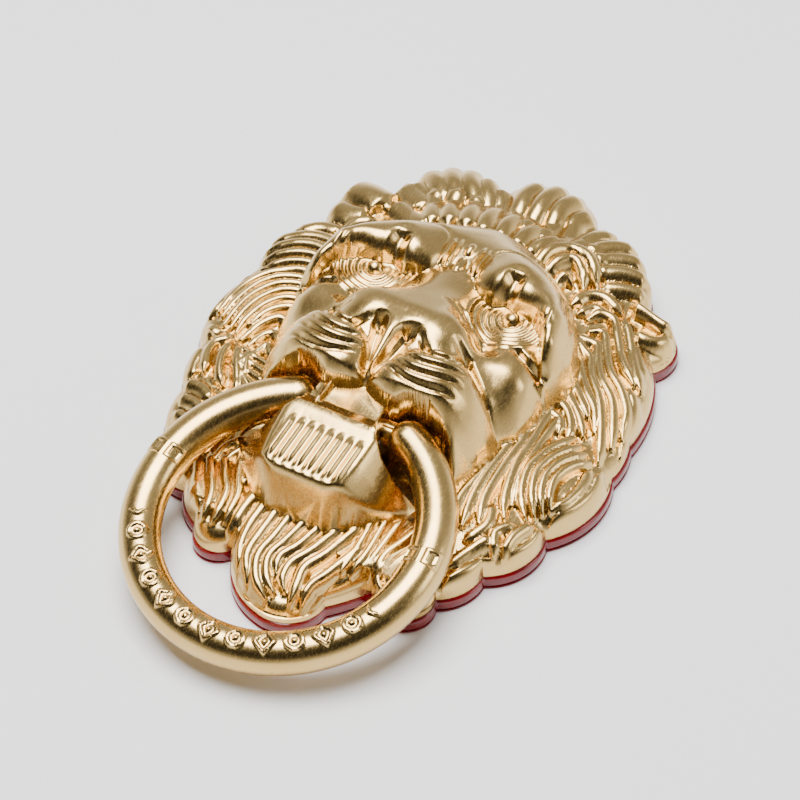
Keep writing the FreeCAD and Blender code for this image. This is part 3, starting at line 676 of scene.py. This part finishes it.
# Lines cut into the face. All but PHILTRUM are drawn on both sides.
WHISKER_GROOVES = [
    [(6, -9.4), (8.6, -9.9), (11.4, -9.2), (13.6, -7.6)],
    [(3.8, -10.8), (7.4, -12.2), (11.2, -11.6), (14.6, -9.8)],
    [(2.9, -12.8), (6.8, -14.4), (11, -14), (15, -12.2)],
    [(3.2, -14.9), (7.4, -16.4), (11.2, -16.1), (14.8, -14.8)],
]
NOSTRIL_SLOTS = [[(2.9, -7), (2.5, -8.8), (1.9, -11.2), (1.3, -13.8), (0.7, -16.4)]]
NOSTRILS = [[(2.5, -7.6), (3.1, -6.7), (4.1, -6.6)]]
WING_CREASE = [[(5, -6.8), (6.4, -8.3), (8.8, -8.9), (11.4, -7.8), (13, -4.6)]]
PHILTRUM = [[(0, -15.4), (0, -17), (0, -18.6)]]
NOSE_CREASES = [[(3.2, 4.8), (5.4, 4.4), (8.6, 2.2)], [(4.4, 6.2), (6.6, 5.4), (9.4, 3)]]
CHEEK_CREASE = [
    [(10.2, -4), (12.6, -5.2), (15.4, -7.2), (18.6, -9.8), (22.4, -13.4)],
    [(17, 3.2), (20.4, 2), (24.2, 2.4)],
]
# Raised rings round the eye: radius and rise.
LID_RINGS = [(2.3, 0.4), (3.5, 0.45), (4.7, 0.5), (5.9, 0.5), (7.1, 0.4)]
EYE = (13.2, 9.6)
BROW_LINE = [[
    (3.9, 13), (3.9, 18), (5, 21.6), (9.6, 23.2), (15.4, 22), (20, 17.6), (23.4, 11.6),
    (25.2, 5),
]]
# The tufts between the brows: bars, and beads as (middle x, middle y, half x, half y).
FOREHEAD_BARS = [[(2.1, 14.6), (2.2, 21)], [(3.2, 14.2), (3.3, 20.6)]]
FOREHEAD_BEADS = [(0, 19.6, 0.8, 1.6), (0, 15.7, 1, 1.7)]


def ring_underside(x, y):
    """Height of the underside of the resting ring above each point, or a large number away from it."""
    bar = settings("knocker_ring").bar / MM + settings("knocker_mask").ring_gap / MM
    below_pivot = 6.0
    away = RING.reach - (PIVOT.y / MM - y) / math.cos(RING.tilt)
    off = np.abs(np.hypot(x, away) - RING.radius)
    level = PIVOT.z / MM - (PIVOT.y / MM - y) * math.tan(RING.tilt)
    under = level - np.sqrt(np.clip(bar**2 - off**2, 0, None)) / math.cos(RING.tilt)
    return np.where((off < bar) & (y < PIVOT.y / MM - below_pivot), under, 1e3)


class RING:
    """The ring's lie, in mm, worked out from its CAD node and the hinge."""

    low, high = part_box("knocker_ring")
    bar = BAR_RADIUS / MM
    radius = high[0] / MM - bar
    entry = RING_ENTRY / MM
    reach = math.sqrt(radius**2 - entry**2)
    tilt = math.asin((PIVOT.z / MM - low[2] / MM - bar) / (reach + radius))


def sculpt(x, y):
    """Height of the casting's front at each point, in mm."""
    shape = x.shape
    x, y = x.ravel(), y.ravel()
    look = settings("knocker_mask")
    # the mane lies on a low dome, which rises a little to the crown and to the left
    dome_x, dome_y, dome_rise, dome_foot = 48, 66, 13.2, -2.6
    bulge = np.clip(1 - (x / dome_x) ** 2 - (y / dome_y) ** 2, 0.04, 1)
    mane = dome_foot + dome_rise * np.sqrt(bulge)
    mane += 2.0 * np.clip((y - 22) / 22, 0, 1) + 1.0 * np.clip((-x - 22) / 12, 0, 1)
    for middle_x, middle_y, half_x, half_y, rise in CUSHIONS:
        reach = np.hypot((x - middle_x) / half_x, (y - middle_y) / half_y)
        mane += rise * np.clip(1 - reach**2, 0, 1)
    strands = strand_relief(x, y, CROWN + EARS + RIGHT_MANE + LEFT_MANE + BEARD)
    mane += look.strand_height / MM * strands

    face = np.zeros_like(x)
    near = np.flatnonzero((np.abs(x) < 29) & (y > -28) & (y < 33))
    face[near] = face_height(x[near], y[near])
    lip = np.interp(np.abs(x), *np.array(LIP_LINE).T)
    inside = lip - y
    lip_round = 1.8
    lip_edge = np.clip(1 + inside / lip_round, 0, 1)
    face -= lip_round * (1 - np.sqrt(1 - lip_edge**2))
    face = np.where(inside > 0, 0, face)
    mouth_floor = 8.2
    face = np.maximum(face, np.where((np.abs(x) < 19) & (y < -15) & (y > -42), mouth_floor, 0))
    face = np.maximum(face, chin_height(x, y))
    # the mane sinks under the mouth, so that the chin stands free
    well = np.hypot(x / 18.0, (y + 26.5) / 9.5)
    mane -= 5.0 * np.clip(1.6 - 1.6 * well**3, 0, 1)
    height = blend_max(face, mane, 0.3)

    height = np.minimum(height, ring_underside(x, y) - 0.05)
    rim = edge_distance(x, y)
    edge = look.edge_round / MM
    depth = np.clip(1 - rim / edge, 0, 1)
    height -= edge * (1 - np.sqrt(1 - depth**2))
    least_height = 3.6
    return np.maximum(height, least_height).reshape(shape)


def face_height(x, y):
    """Height of the lion's face above the lip, in mm."""
    face = draped(x, y, SKIN)
    edge_x, edge_y = np.array(BROW_EDGE, float).T
    edge = np.interp(np.abs(x), edge_x, edge_y)
    roll = 3.4
    turned = np.where(y > edge, 0.0, 1.0)
    near, away, _ = along_route(np.abs(x), y, BROW_EDGE, roll)
    turned[near] = np.where(y[near] > edge[near], 1 - away / roll, 1.0)
    brow = draped(x, y, BROW_SKIN) - roll * (1 - np.sqrt(1 - 0.9 * np.clip(turned, 0, 1) ** 2))
    brow -= 2.5 * np.clip(edge - y, 0, 2)
    brow = carve(x, y, brow, both_sides(BROW_NOTCH), 2.4, 1.8)
    face = blend_max(face, brow, 0.25)
    face = carve(x, y, face, both_sides(BROW_LINE), 0.7, 0.35)
    # the eyeball, and the raised rings of the lids below it
    ball = np.hypot(np.abs(x) - EYE[0], y - EYE[1])
    face += 1.2 * np.clip(1 - (ball / 1.5) ** 2, 0, 1) ** 0.6
    below = np.clip((0.8 - (y - EYE[1]) + 0.25 * np.abs(np.abs(x) - EYE[0])) / 1.8, 0, 1)
    for radius, rise in LID_RINGS:
        face += rise * below * np.exp(-(((ball - radius) / 0.42) ** 2))
    face = carve(x, y, face, both_sides(NOSE_CREASES), 0.75, 0.55)
    face = carve(x, y, face, both_sides(CHEEK_CREASE), 1.3, 1.3)
    face = blend_max(face, loft(x, y, WHISKER_PAD), 0.3)
    face = blend_max(face, loft(x, y, NOSE_COLUMN), 0.3)
    face = carve(x, y, face, both_sides(WHISKER_GROOVES), 0.85, 0.8)
    face = carve(x, y, face, both_sides(NOSTRIL_SLOTS), 1.3, 0.9)
    face = carve(x, y, face, both_sides(NOSTRILS), 1.9, 1.5)
    face = carve(x, y, face, both_sides(WING_CREASE), 0.9, 1.1)
    face = carve(x, y, face, PHILTRUM, 1.1, 1.2)
    for route in FOREHEAD_BARS:
        face = carve(x, y, face, both_sides([route]), 0.62, -0.8)
    for middle_x, middle_y, half_x, half_y in FOREHEAD_BEADS:
        reach = np.hypot((x - middle_x) / half_x, (y - middle_y) / half_y)
        face += 0.75 * np.clip(1 - reach**2, 0, 1) ** 0.6
    edge, half = np.array(FACE_HALF_WIDTH, float).T
    slope = (np.interp(y + 0.3, edge, half) - np.interp(y - 0.3, edge, half)) / 0.6
    outside = (np.abs(x) - np.interp(y, edge, half)) / np.hypot(1, slope)
    return face - 3.0 * np.clip(outside, 0, None)


def chin_height(x, y):
    """Height of the mouth's floor and the ridged chin, in mm."""
    chin_middle = -0.7
    side = np.abs(x - chin_middle)
    chin = soft_min(
        [
            np.interp(y, *np.array(CHIN_TOP).T),
            19.0 - 1.45 * (side - np.interp(y, *np.array(CHIN_SIDE).T)),
            17.6 + 3.6 * (y + 37.4 - 0.12 * np.clip(side - 4, 0, None) ** 1.8),
            19.6 - 6.0 * (y - np.interp(side, *np.array(CHIN_BACK).T)),
        ],
        2.2,
    )
    first_ridge, ridge_pitch = -6.6, 1.8
    for i in range(8):
        ridge = first_ridge + ridge_pitch * i
        chin = carve(x, y, chin, [[(ridge, -28.4), (ridge - 0.5, -36.4)]], 0.85, -0.6)
    # the two webs that tie the chin to the upper lip
    webs = [[(-5.0, -18.0), (-5.2, -23.8)], [(5.8, -18.0), (6.2, -24.4)]]
    return carve(x, y, chin, webs, 0.8, -1.1)


def edge_distance(x, y):
    """Distance from each point to the outline, in mm, exact near the rim."""
    angle, radius = OUTLINE
    line = np.stack([radius * np.cos(angle), radius * np.sin(angle)], -1)
    line = np.vstack([line, line[:1]])
    distance = np.full(x.shape, 99.0)
    rough = radius_at(np.arctan2(y, x), OUTLINE) - np.hypot(x, y)
    exact_within = 5
    near = np.flatnonzero(rough < exact_within)
    for start, end in zip(line, line[1:]):
        distance[near] = np.minimum(distance[near], from_segment(x[near], y[near], start, end)[0])
    return distance


# ------------------------------------------------------------------ ring geometry
def ring_turn(turn):
    """Puts something drawn about the pivot, with the ring along -Y, where the ring is at a swing, in mm."""
    return Matrix.Translation(PIVOT / MM) @ Matrix.Rotation(RING.tilt - turn, 4, "X")


def bent_bar(name, bar, turn, rows, columns, relief=None):
    """The ring's bent bar with rounded ends, as a closed tube. The bar radius is in mm."""
    opening = math.asin(RING.entry / RING.radius)
    arc = np.linspace(opening, 2 * math.pi - opening, rows)
    ends = 8
    rise = np.linspace(0, math.pi / 2, ends + 1)[1:]
    stations = [(opening, -math.sin(a), math.cos(a)) for a in rise[::-1]]
    stations += [(a, 0.0, 1.0) for a in arc]
    stations += [(2 * math.pi - opening, math.sin(a), math.cos(a)) for a in rise]
    around = np.linspace(0, 2 * math.pi, columns, endpoint=False)
    points = []
    for angle, beyond, share in stations:
        # the angle runs from the top, clockwise as seen from the front, so that the foot is at pi
        out = np.array([math.sin(angle), math.cos(angle), 0])
        ahead = np.array([math.cos(angle), -math.sin(angle), 0])
        centre = out * RING.radius + ahead * beyond * bar - np.array([0, RING.reach, 0])
        radius = np.full(columns, bar * max(share, 1e-3))
        if relief is not None and share == 1.0:
            radius = radius + relief((angle - math.pi) * RING.radius, around * bar)
        section = np.outer(radius * np.cos(around), out)
        points.append(centre + section + np.outer(radius * np.sin(around), (0, 0, 1)))
    matrix = np.array(ring_turn(turn))
    points = np.concatenate(points) @ matrix[:3, :3].T + matrix[:3, 3]
    return new_piece(name, points * MM, tube_faces(len(stations), columns))


def swept_band(name, bar):
    """The space that the middle plane of the ring's bar sweeps over the swing, as a closed solid."""
    # it starts this far below the hinge line, since on the line itself a turn sweeps no thickness
    below_hinge = 0.4
    outline = []
    for radius, order in ((RING.radius + bar, 1), (RING.radius - bar, -1)):
        top = math.acos(min(1, (RING.reach - below_hinge) / radius))
        angles = np.linspace(top, 2 * math.pi - top, 90)[::order]
        outline += [(radius * math.sin(a), radius * math.cos(a) - RING.reach) for a in angles]
    outline = np.array(outline)
    steps = np.linspace(0, SWING, 16)
    points = []
    for turn in steps:
        matrix = np.array(ring_turn(turn))
        flat = np.c_[outline, np.zeros(len(outline))]
        points.append(flat @ matrix[:3, :3].T + matrix[:3, 3])
    count = len(outline)
    index = np.arange(len(steps) * count).reshape(len(steps), count)
    across = np.roll(index, -1, axis=1)
    quads = np.stack([index[:-1], index[1:], across[1:], across[:-1]], -1).reshape(-1, 4)
    faces = quads.tolist() + [index[0].tolist(), index[-1][::-1].tolist()]
    piece = new_piece(name, np.concatenate(points) * MM, faces)
    take_up(piece)
    bpy.ops.object.mode_set(mode="EDIT")
    bpy.ops.mesh.select_all(action="SELECT")
    bpy.ops.mesh.normals_make_consistent(inside=False)
    bpy.ops.object.mode_set(mode="OBJECT")
    return piece


def ring_relief(run, girth):
    """Height of the ring's ornament in mm: lozenges and beads in a row, and studs at its sides."""
    look = settings("knocker_ring")
    pitch = 4.7
    row_offset = 0.2
    stud_angle, stud_apart = 1.66, 1.8
    spread = look.relief_spread * RING.radius
    across = girth - 0.5 * math.pi * look.bar / MM - row_offset

    def outline(size, middle, half):
        """A raised line where size is near middle, with steep sides."""
        return np.clip(3 * (1 - np.abs(size - middle) / half), 0, 1)

    lift = np.zeros_like(girth)
    if abs(run) < spread:
        nearest = round(run / pitch)
        ahead = run - nearest * pitch
        if nearest % 2:
            size = np.hypot(ahead, across)
            lift = outline(size, 1.35, 0.4) + outline(size, 0, 0.5)
        else:
            size = abs(ahead) / 2.05 + np.abs(across) / 2.2
            lift = outline(size, 0.8, 0.2) + outline(size, 0, 0.3)
    for side in (-1, 1):
        ahead = run - side * stud_angle * RING.radius
        for place in (-stud_apart, stud_apart):
            size = np.maximum(abs(ahead) / 1.45, np.abs(across - place) / 1.35)
            lift = np.maximum(lift, outline(size, 0.75, 0.25))
    return np.clip(lift, 0, 1) * look.relief / MM


# ------------------------------------------------------------------ materials
def linear(text):
    """An sRGB hex colour as linear RGBA."""
    values = [int(text[i : i + 2], 16) / 255 for i in (0, 2, 4)]
    return [v / 12.92 if v <= 0.04045 else ((v + 0.055) / 1.055) ** 2.4 for v in values] + [1.0]


def add_node(tree, kind, inputs=None, links=None, **attributes):
    """Adds a node, sets its attributes and inputs, and links its inputs to other sockets."""
    node = tree.nodes.new(kind)
    for name, value in attributes.items():
        setattr(node, name, value)
    for name, value in (inputs or {}).items():
        node.inputs[name].default_value = value
    for name, socket in (links or {}).items():
        tree.links.new(socket, node.inputs[name])
    return node


def new_material(name):
    """A material with only a Principled shader and its output."""
    material = bpy.data.materials.new(name)
    material.use_nodes = True
    tree = material.node_tree
    return material, tree, tree.nodes["Principled BSDF"]


def per_mm(size):
    """Texture scale whose pattern repeats about every size millimetres."""
    return 1 / (size * MM)


def noise(tree, place, size, detail, roughness=0.5):
    """Noise whose grains are about size millimetres, as a value socket."""
    inputs = {"Scale": per_mm(size), "Detail": detail, "Roughness": roughness}
    return add_node(tree, "ShaderNodeTexNoise", inputs, {"Vector": place}).outputs["Fac"]


def remap(tree, value, start, end, ease="LINEAR"):
    """A value stretched from one pair of limits to another, as a socket."""
    inputs = {"From Min": start[0], "From Max": start[1], "To Min": end[0], "To Max": end[1]}
    kind = "ShaderNodeMapRange"
    return add_node(tree, kind, inputs, {"Value": value}, interpolation_type=ease).outputs["Result"]


def bump(tree, height, strength, depth, normal=None):
    """A bump from a height socket, depth millimetres deep, as a normal socket."""
    links = {"Height": height} if normal is None else {"Height": height, "Normal": normal}
    inputs = {"Strength": strength, "Distance": depth * MM}
    return add_node(tree, "ShaderNodeBump", inputs, links).outputs["Normal"]


def mixed(tree, share, first, second):
    """Two hex colours mixed by a value socket, as a colour socket."""
    node = add_node(tree, "ShaderNodeMix", None, {"Factor": share}, data_type="RGBA")
    node.inputs["A"].default_value = linear(first)
    node.inputs["B"].default_value = linear(second)
    return node.outputs["Result"]


def satin_gold(name, scratch):
    """Zinc casting plated in pale champagne gold, satin, then lightly brushed.

    The eye sees one colour with slightly yellower patches, highlights broken by fine brushing, and a
    faint unevenness left by the casting."""
    material, tree, shader = new_material(name)
    place = add_node(tree, "ShaderNodeTexCoord").outputs["Object"]
    stretch = {"Scale": (1.0, 0.25, 0.6), "Rotation": (0.3, 0.2, 0.6)}
    drawn = add_node(tree, "ShaderNodeMapping", stretch, {"Vector": place}).outputs[0]
    brushing = noise(tree, drawn, scratch, 5.0, 0.7)
    patches = remap(tree, noise(tree, place, 7.0, 3.0), (0.35, 0.7), (0.0, 0.45))
    colour = mixed(tree, patches, settings("knocker_finish").gold, "C8A25C")
    tree.links.new(colour, shader.inputs["Base Color"])
    roughness = remap(tree, brushing, (0.3, 0.75), (0.17, 0.32))
    tree.links.new(roughness, shader.inputs["Roughness"])
    shader.inputs["Metallic"].default_value = 1.0
    cast = bump(tree, noise(tree, place, 0.55, 3.0), 0.1, 0.04)
    tree.links.new(bump(tree, brushing, 0.3, 0.02, cast), shader.inputs["Normal"])
    return material


def red_gel(name, colour, roughness):
    """Acrylic gel or PET film dyed deep red: a wet gloss, with faint ripples left by die cutting."""
    material, tree, shader = new_material(name)
    place = add_node(tree, "ShaderNodeTexCoord").outputs["Object"]
    ripple = noise(tree, place, 2.2, 2.0)
    tree.links.new(mixed(tree, ripple, colour, "5E030C"), shader.inputs["Base Color"])
    shader.inputs["Roughness"].default_value = roughness
    shader.inputs["IOR"].default_value = 1.47
    shader.inputs["Coat Weight"].default_value = 0.3
    shader.inputs["Coat Roughness"].default_value = 0.08
    tree.links.new(bump(tree, ripple, 0.25, 0.2), shader.inputs["Normal"])
    return material


def plain_metal(name, colour, roughness, grain_size):
    """Zinc or plated steel as it leaves the barrel: even grey, with a fine tumbled grain."""
    material, tree, shader = new_material(name)
    place = add_node(tree, "ShaderNodeTexCoord").outputs["Object"]
    grain = noise(tree, place, grain_size, 4.0)
    spread = remap(tree, grain, (0.0, 1.0), (roughness - 0.08, roughness + 0.1))
    tree.links.new(spread, shader.inputs["Roughness"])
    shader.inputs["Base Color"].default_value = linear(colour)
    shader.inputs["Metallic"].default_value = 1.0
    tree.links.new(bump(tree, grain, 0.2, 0.02), shader.inputs["Normal"])
    return material


# ------------------------------------------------------------------ operators
class KNOCKER_OT_mask(bpy.types.Operator):
    """Sculpts the lion mask as a hollow casting with mouth slots, boss and posts"""

    bl_idname = "knocker.mask"
    bl_label = "Lion Mask"

    def execute(self, context):
        look = settings("knocker_mask")
        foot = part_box("lion_mask")[0][2] / MM
        # an ellipse of about the outline's size, which is drawn out to the outline towards the rim
        x, y = disc_grid(look.grid, 38.0, 53.0, True)
        top = sculpt(x, y)
        mask = grid_solid("lion_casting", x, y, top, foot)
        combine(mask, self.hollow(look, foot), "DIFFERENCE")
        bar = settings("knocker_ring").bar / MM + look.ring_gap / MM
        for turn in (0.0, SWING):
            combine(mask, bent_bar("room", bar, turn, 90, 32), "DIFFERENCE")
        combine(mask, swept_band("swept", bar), "DIFFERENCE")
        past_boss = Vector((12 * MM, 0, 0))
        bore = cylinder(BORE_RADIUS, PIVOT - past_boss, PIVOT + past_boss)
        combine(mask, bore, "DIFFERENCE")
        take_up(mask)
        faces = sum(len(face.vertices) - 2 for face in mask.data.polygons)
        thin = mask.modifiers.new("thin", "DECIMATE")
        thin.ratio = min(1.0, MOST_TRIANGLES / faces)
        bpy.ops.object.modifier_apply(modifier=thin.name)
        gold = satin_gold("Satin champagne gold casting", 0.35)
        finish_piece(mask, "mask", "gold_casting", gold, math.radians(50), "lion_mask")
        return {"FINISHED"}

    def hollow(self, look, foot):
        """The solid that hollows the casting, less the boss and the screw posts."""
        low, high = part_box("back_plate")
        plate_gap = 0.3
        coarse = 110
        x, y = disc_grid(coarse, high[0] / MM + plate_gap, high[1] / MM + plate_gap, False)
        top = sculpt(x, y)
        # each point takes the lowest height round it, so that the wall stays thick beside steep forms
        for _ in range(2):
            padded = np.pad(top, 1, mode="edge")
            rows, columns = top.shape
            around = [padded[i : i + rows, j : j + columns] for i in range(3) for j in range(3)]
            top = np.min(around, 0)
        least_roof, highest_roof = foot + 2.2, 18.0
        roof = np.clip(top - look.wall / MM, least_roof, highest_roof)
        core = grid_solid("core", x, y, roof, foot - 1)
        clamp_low, clamp_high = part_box("pivot_clamp")
        boss = block((clamp_low[0], clamp_low[1], PIVOT.z), (clamp_high[0], clamp_high[1], ABOVE))
        combine(core, boss, "DIFFERENCE")
        screws_low, screws_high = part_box("back_plate_screws")
        for post_x in (screws_low[0] + SCREW_HEAD_RADIUS, screws_high[0] - SCREW_HEAD_RADIUS):
            for post_y in (screws_low[1] + SCREW_HEAD_RADIUS, screws_high[1] - SCREW_HEAD_RADIUS):
                post = cylinder(POST_RADIUS, (post_x, post_y, high[2]), (post_x, post_y, ABOVE))
                combine(core, post, "DIFFERENCE")
        return core


class KNOCKER_OT_ring(bpy.types.Operator):
    """Models the ring with its raised ornament and its two stub journals"""

    bl_idname = "knocker.ring"
    bl_label = "Knocker Ring"

    def execute(self, context):
        look = settings("knocker_ring")
        ring = bent_bar("relief_ring", look.bar / MM, 0.0, 860, 84, ring_relief)
        for side in (-1, 1):
            inner = PIVOT + Vector((side * JOURNAL_INNER_END, 0, 0))
            outer = PIVOT + Vector((side * RING_ENTRY, 0, 0))
            combine(ring, cylinder(JOURNAL_RADIUS, inner, outer), "UNION")
        gold = satin_gold("Satin champagne gold bar", 0.3)
        finish_piece(ring, "ring", "gold_ring", gold, math.radians(50), "knocker_ring")
        return {"FINISHED"}


class KNOCKER_OT_layers(bpy.types.Operator):
    """Models the red gel pad and its release film, cut to the mask's outline"""

    bl_idname = "knocker.layers"
    bl_label = "Pad and Film"

    def execute(self, context):
        finish = settings("knocker_finish")
        pad_low, pad_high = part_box("adhesive_pad")
        pad = self.slab("gel_pad", pad_low[2] / MM, pad_high[2] / MM, 0.35, 9)
        gel = red_gel("Dyed acrylic adhesive gel", finish.gel, 0.12)
        finish_piece(pad, "mask", "red_adhesive", gel, math.radians(60), "adhesive_pad")
        film_low, film_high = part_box("release_liner")
        film = self.slab("peel_film", film_low[2] / MM, film_high[2] / MM, 0.08, 3)
        pet = red_gel("Red PET release film", finish.film, 0.18)
        finish_piece(film, "mask", "red_film", pet, math.radians(40), "release_liner")
        return {"FINISHED"}

    def slab(self, name, low, high, rounding, levels):
        """A flat slab with the mask's outline and a rounded edge."""
        angle = np.linspace(-math.pi, math.pi, 1200, endpoint=False)
        radius = radius_at(angle, PAD_OUTLINE)
        points = []
        for share in np.linspace(-1, 1, levels):
            inset = rounding * (1 - math.sqrt(max(1 - share**2, 0)))
            level = (low + high) / 2 + share * (high - low) / 2
            edge = radius - inset
            flat = [edge * np.cos(angle), edge * np.sin(angle)]
            points.append(np.stack([*flat, np.full_like(angle, level)], -1))
        return new_piece(name, np.concatenate(points) * MM, tube_faces(levels, len(angle)))


class KNOCKER_OT_fixings(bpy.types.Operator):
    """Gives the plate, clamp and screws inside the mask their finishes"""

    bl_idname = "knocker.fixings"
    bl_label = "Plate, Clamp and Screws"

    def execute(self, context):
        zinc = plain_metal("Bare die-cast zinc", "9A9B98", 0.45, 0.3)
        steel = plain_metal("Nickel-plated steel", "BDBBB4", 0.28, 0.2)
        plate = plain_metal("Gold-lacquered steel sheet", "C8A868", 0.38, 0.5)
        finishes = {
            "pivot_clamp": zinc,
            "clamp_screws": steel,
            "back_plate_screws": steel,
            "back_plate": plate,
        }
        for node, material in finishes.items():
            for slot in frame["nodes"][node].material_slots:
                slot.material = material
        return {"FINISHED"}


class KNOCKER_OT_stage(bpy.types.Operator):
    """Sets up the pale floor, the studio lights and the camera"""

    bl_idname = "knocker.stage"
    bl_label = "Stage"

    def execute(self, context):
        look = settings("knocker_stage")
        put_down()
        bpy.ops.mesh.primitive_plane_add(size=6.0, location=(0, 0, 0))
        floor = context.active_object
        floor.name = "floor"
        paper, tree, shader = new_material("White paper sweep")
        shader.inputs["Base Color"].default_value = linear("F4F4F4")
        shader.inputs["Roughness"].default_value = 0.6
        floor.data.materials.append(paper)
        context.scene.world = self.studio()
        self.light("overhead", (-0.12, 0.04, 0.85), 0.62, 19.0)
        self.light("side", (0.75, 0.25, 0.35), 0.3, 1.2)
        camera = bpy.data.objects.new("camera", bpy.data.cameras.new("camera"))
        context.scene.collection.objects.link(camera)
        view = Vector(
            (
                math.sin(look.azimuth) * math.cos(look.elevation),
                -math.cos(look.azimuth) * math.cos(look.elevation),
                math.sin(look.elevation),
            )
        )
        camera.location = view * look.distance
        camera.rotation_euler = view.to_track_quat("Z", "Y").to_euler()
        camera.data.lens = look.lens
        camera.data.sensor_width = 36.0
        camera.data.shift_x = -0.01875
        camera.data.shift_y = 0.00625
        camera.data.clip_start = 0.01
        context.scene.camera = camera
        return {"FINISHED"}

    def studio(self):
        """A dim room: dark behind the camera, grey at the back, pale along the horizon."""
        look = settings("knocker_stage")
        world = bpy.data.worlds.new("Studio")
        world.use_nodes = True
        tree = world.node_tree
        place = add_node(tree, "ShaderNodeTexCoord").outputs["Generated"]
        part = add_node(tree, "ShaderNodeSeparateXYZ", None, {"Vector": place})
        ends = (look.room_front, look.room_back)
        back = remap(tree, part.outputs["Y"], (-0.3, 0.6), ends, "SMOOTHSTEP")
        low = remap(tree, part.outputs["Z"], (0.05, 0.42), (look.room_horizon, 0.0), "SMOOTHSTEP")
        both = add_node(tree, "ShaderNodeMath", None, {0: back, 1: low}, operation="ADD")
        tree.links.new(both.outputs["Value"], tree.nodes["Background"].inputs["Strength"])
        tree.nodes["Background"].inputs["Color"].default_value = (1, 1, 1, 1)
        return world

    def light(self, name, place, size, power):
        """A square softbox aimed at the knocker."""
        data = bpy.data.lights.new(name, "AREA")
        data.shape = "SQUARE"
        data.size = size
        data.energy = power
        lamp = bpy.data.objects.new(name, data)
        lamp.location = place
        lamp.rotation_euler = Vector(place).to_track_quat("Z", "Y").to_euler()
        bpy.context.scene.collection.objects.link(lamp)


class KNOCKER_PT_panel(bpy.types.Panel):
    """Lists the knocker's pieces in the sidebar"""

    bl_label = "Knocker"
    bl_idname = "KNOCKER_PT_panel"
    bl_space_type = "VIEW_3D"
    bl_region_type = "UI"
    bl_category = "Knocker"

    def draw(self, context):
        for operator in OPERATORS:
            self.layout.operator(operator.bl_idname)


SETTINGS = {
    "knocker_mask": KnockerMaskSettings,
    "knocker_ring": KnockerRingSettings,
    "knocker_finish": KnockerFinishSettings,
    "knocker_stage": KnockerStageSettings,
}
OPERATORS = (KNOCKER_OT_stage, KNOCKER_OT_layers, KNOCKER_OT_fixings, KNOCKER_OT_ring, KNOCKER_OT_mask)


def register():
    """Adds the classes and puts each settings group on the scene."""
    for name, group in SETTINGS.items():
        bpy.utils.register_class(group)
        setattr(bpy.types.Scene, name, bpy.props.PointerProperty(type=group))
    for operator in OPERATORS:
        bpy.utils.register_class(operator)
    bpy.utils.register_class(KNOCKER_PT_panel)


def unregister():
    """Takes them off again."""
    bpy.utils.unregister_class(KNOCKER_PT_panel)
    for operator in reversed(OPERATORS):
        bpy.utils.unregister_class(operator)
    for name, group in reversed(SETTINGS.items()):
        delattr(bpy.types.Scene, name)
        bpy.utils.unregister_class(group)


def main():
    register()
    for operator in OPERATORS:
        family, name = operator.bl_idname.split(".")
        getattr(getattr(bpy.ops, family), name)()


if __name__ == "__main__":
    main()
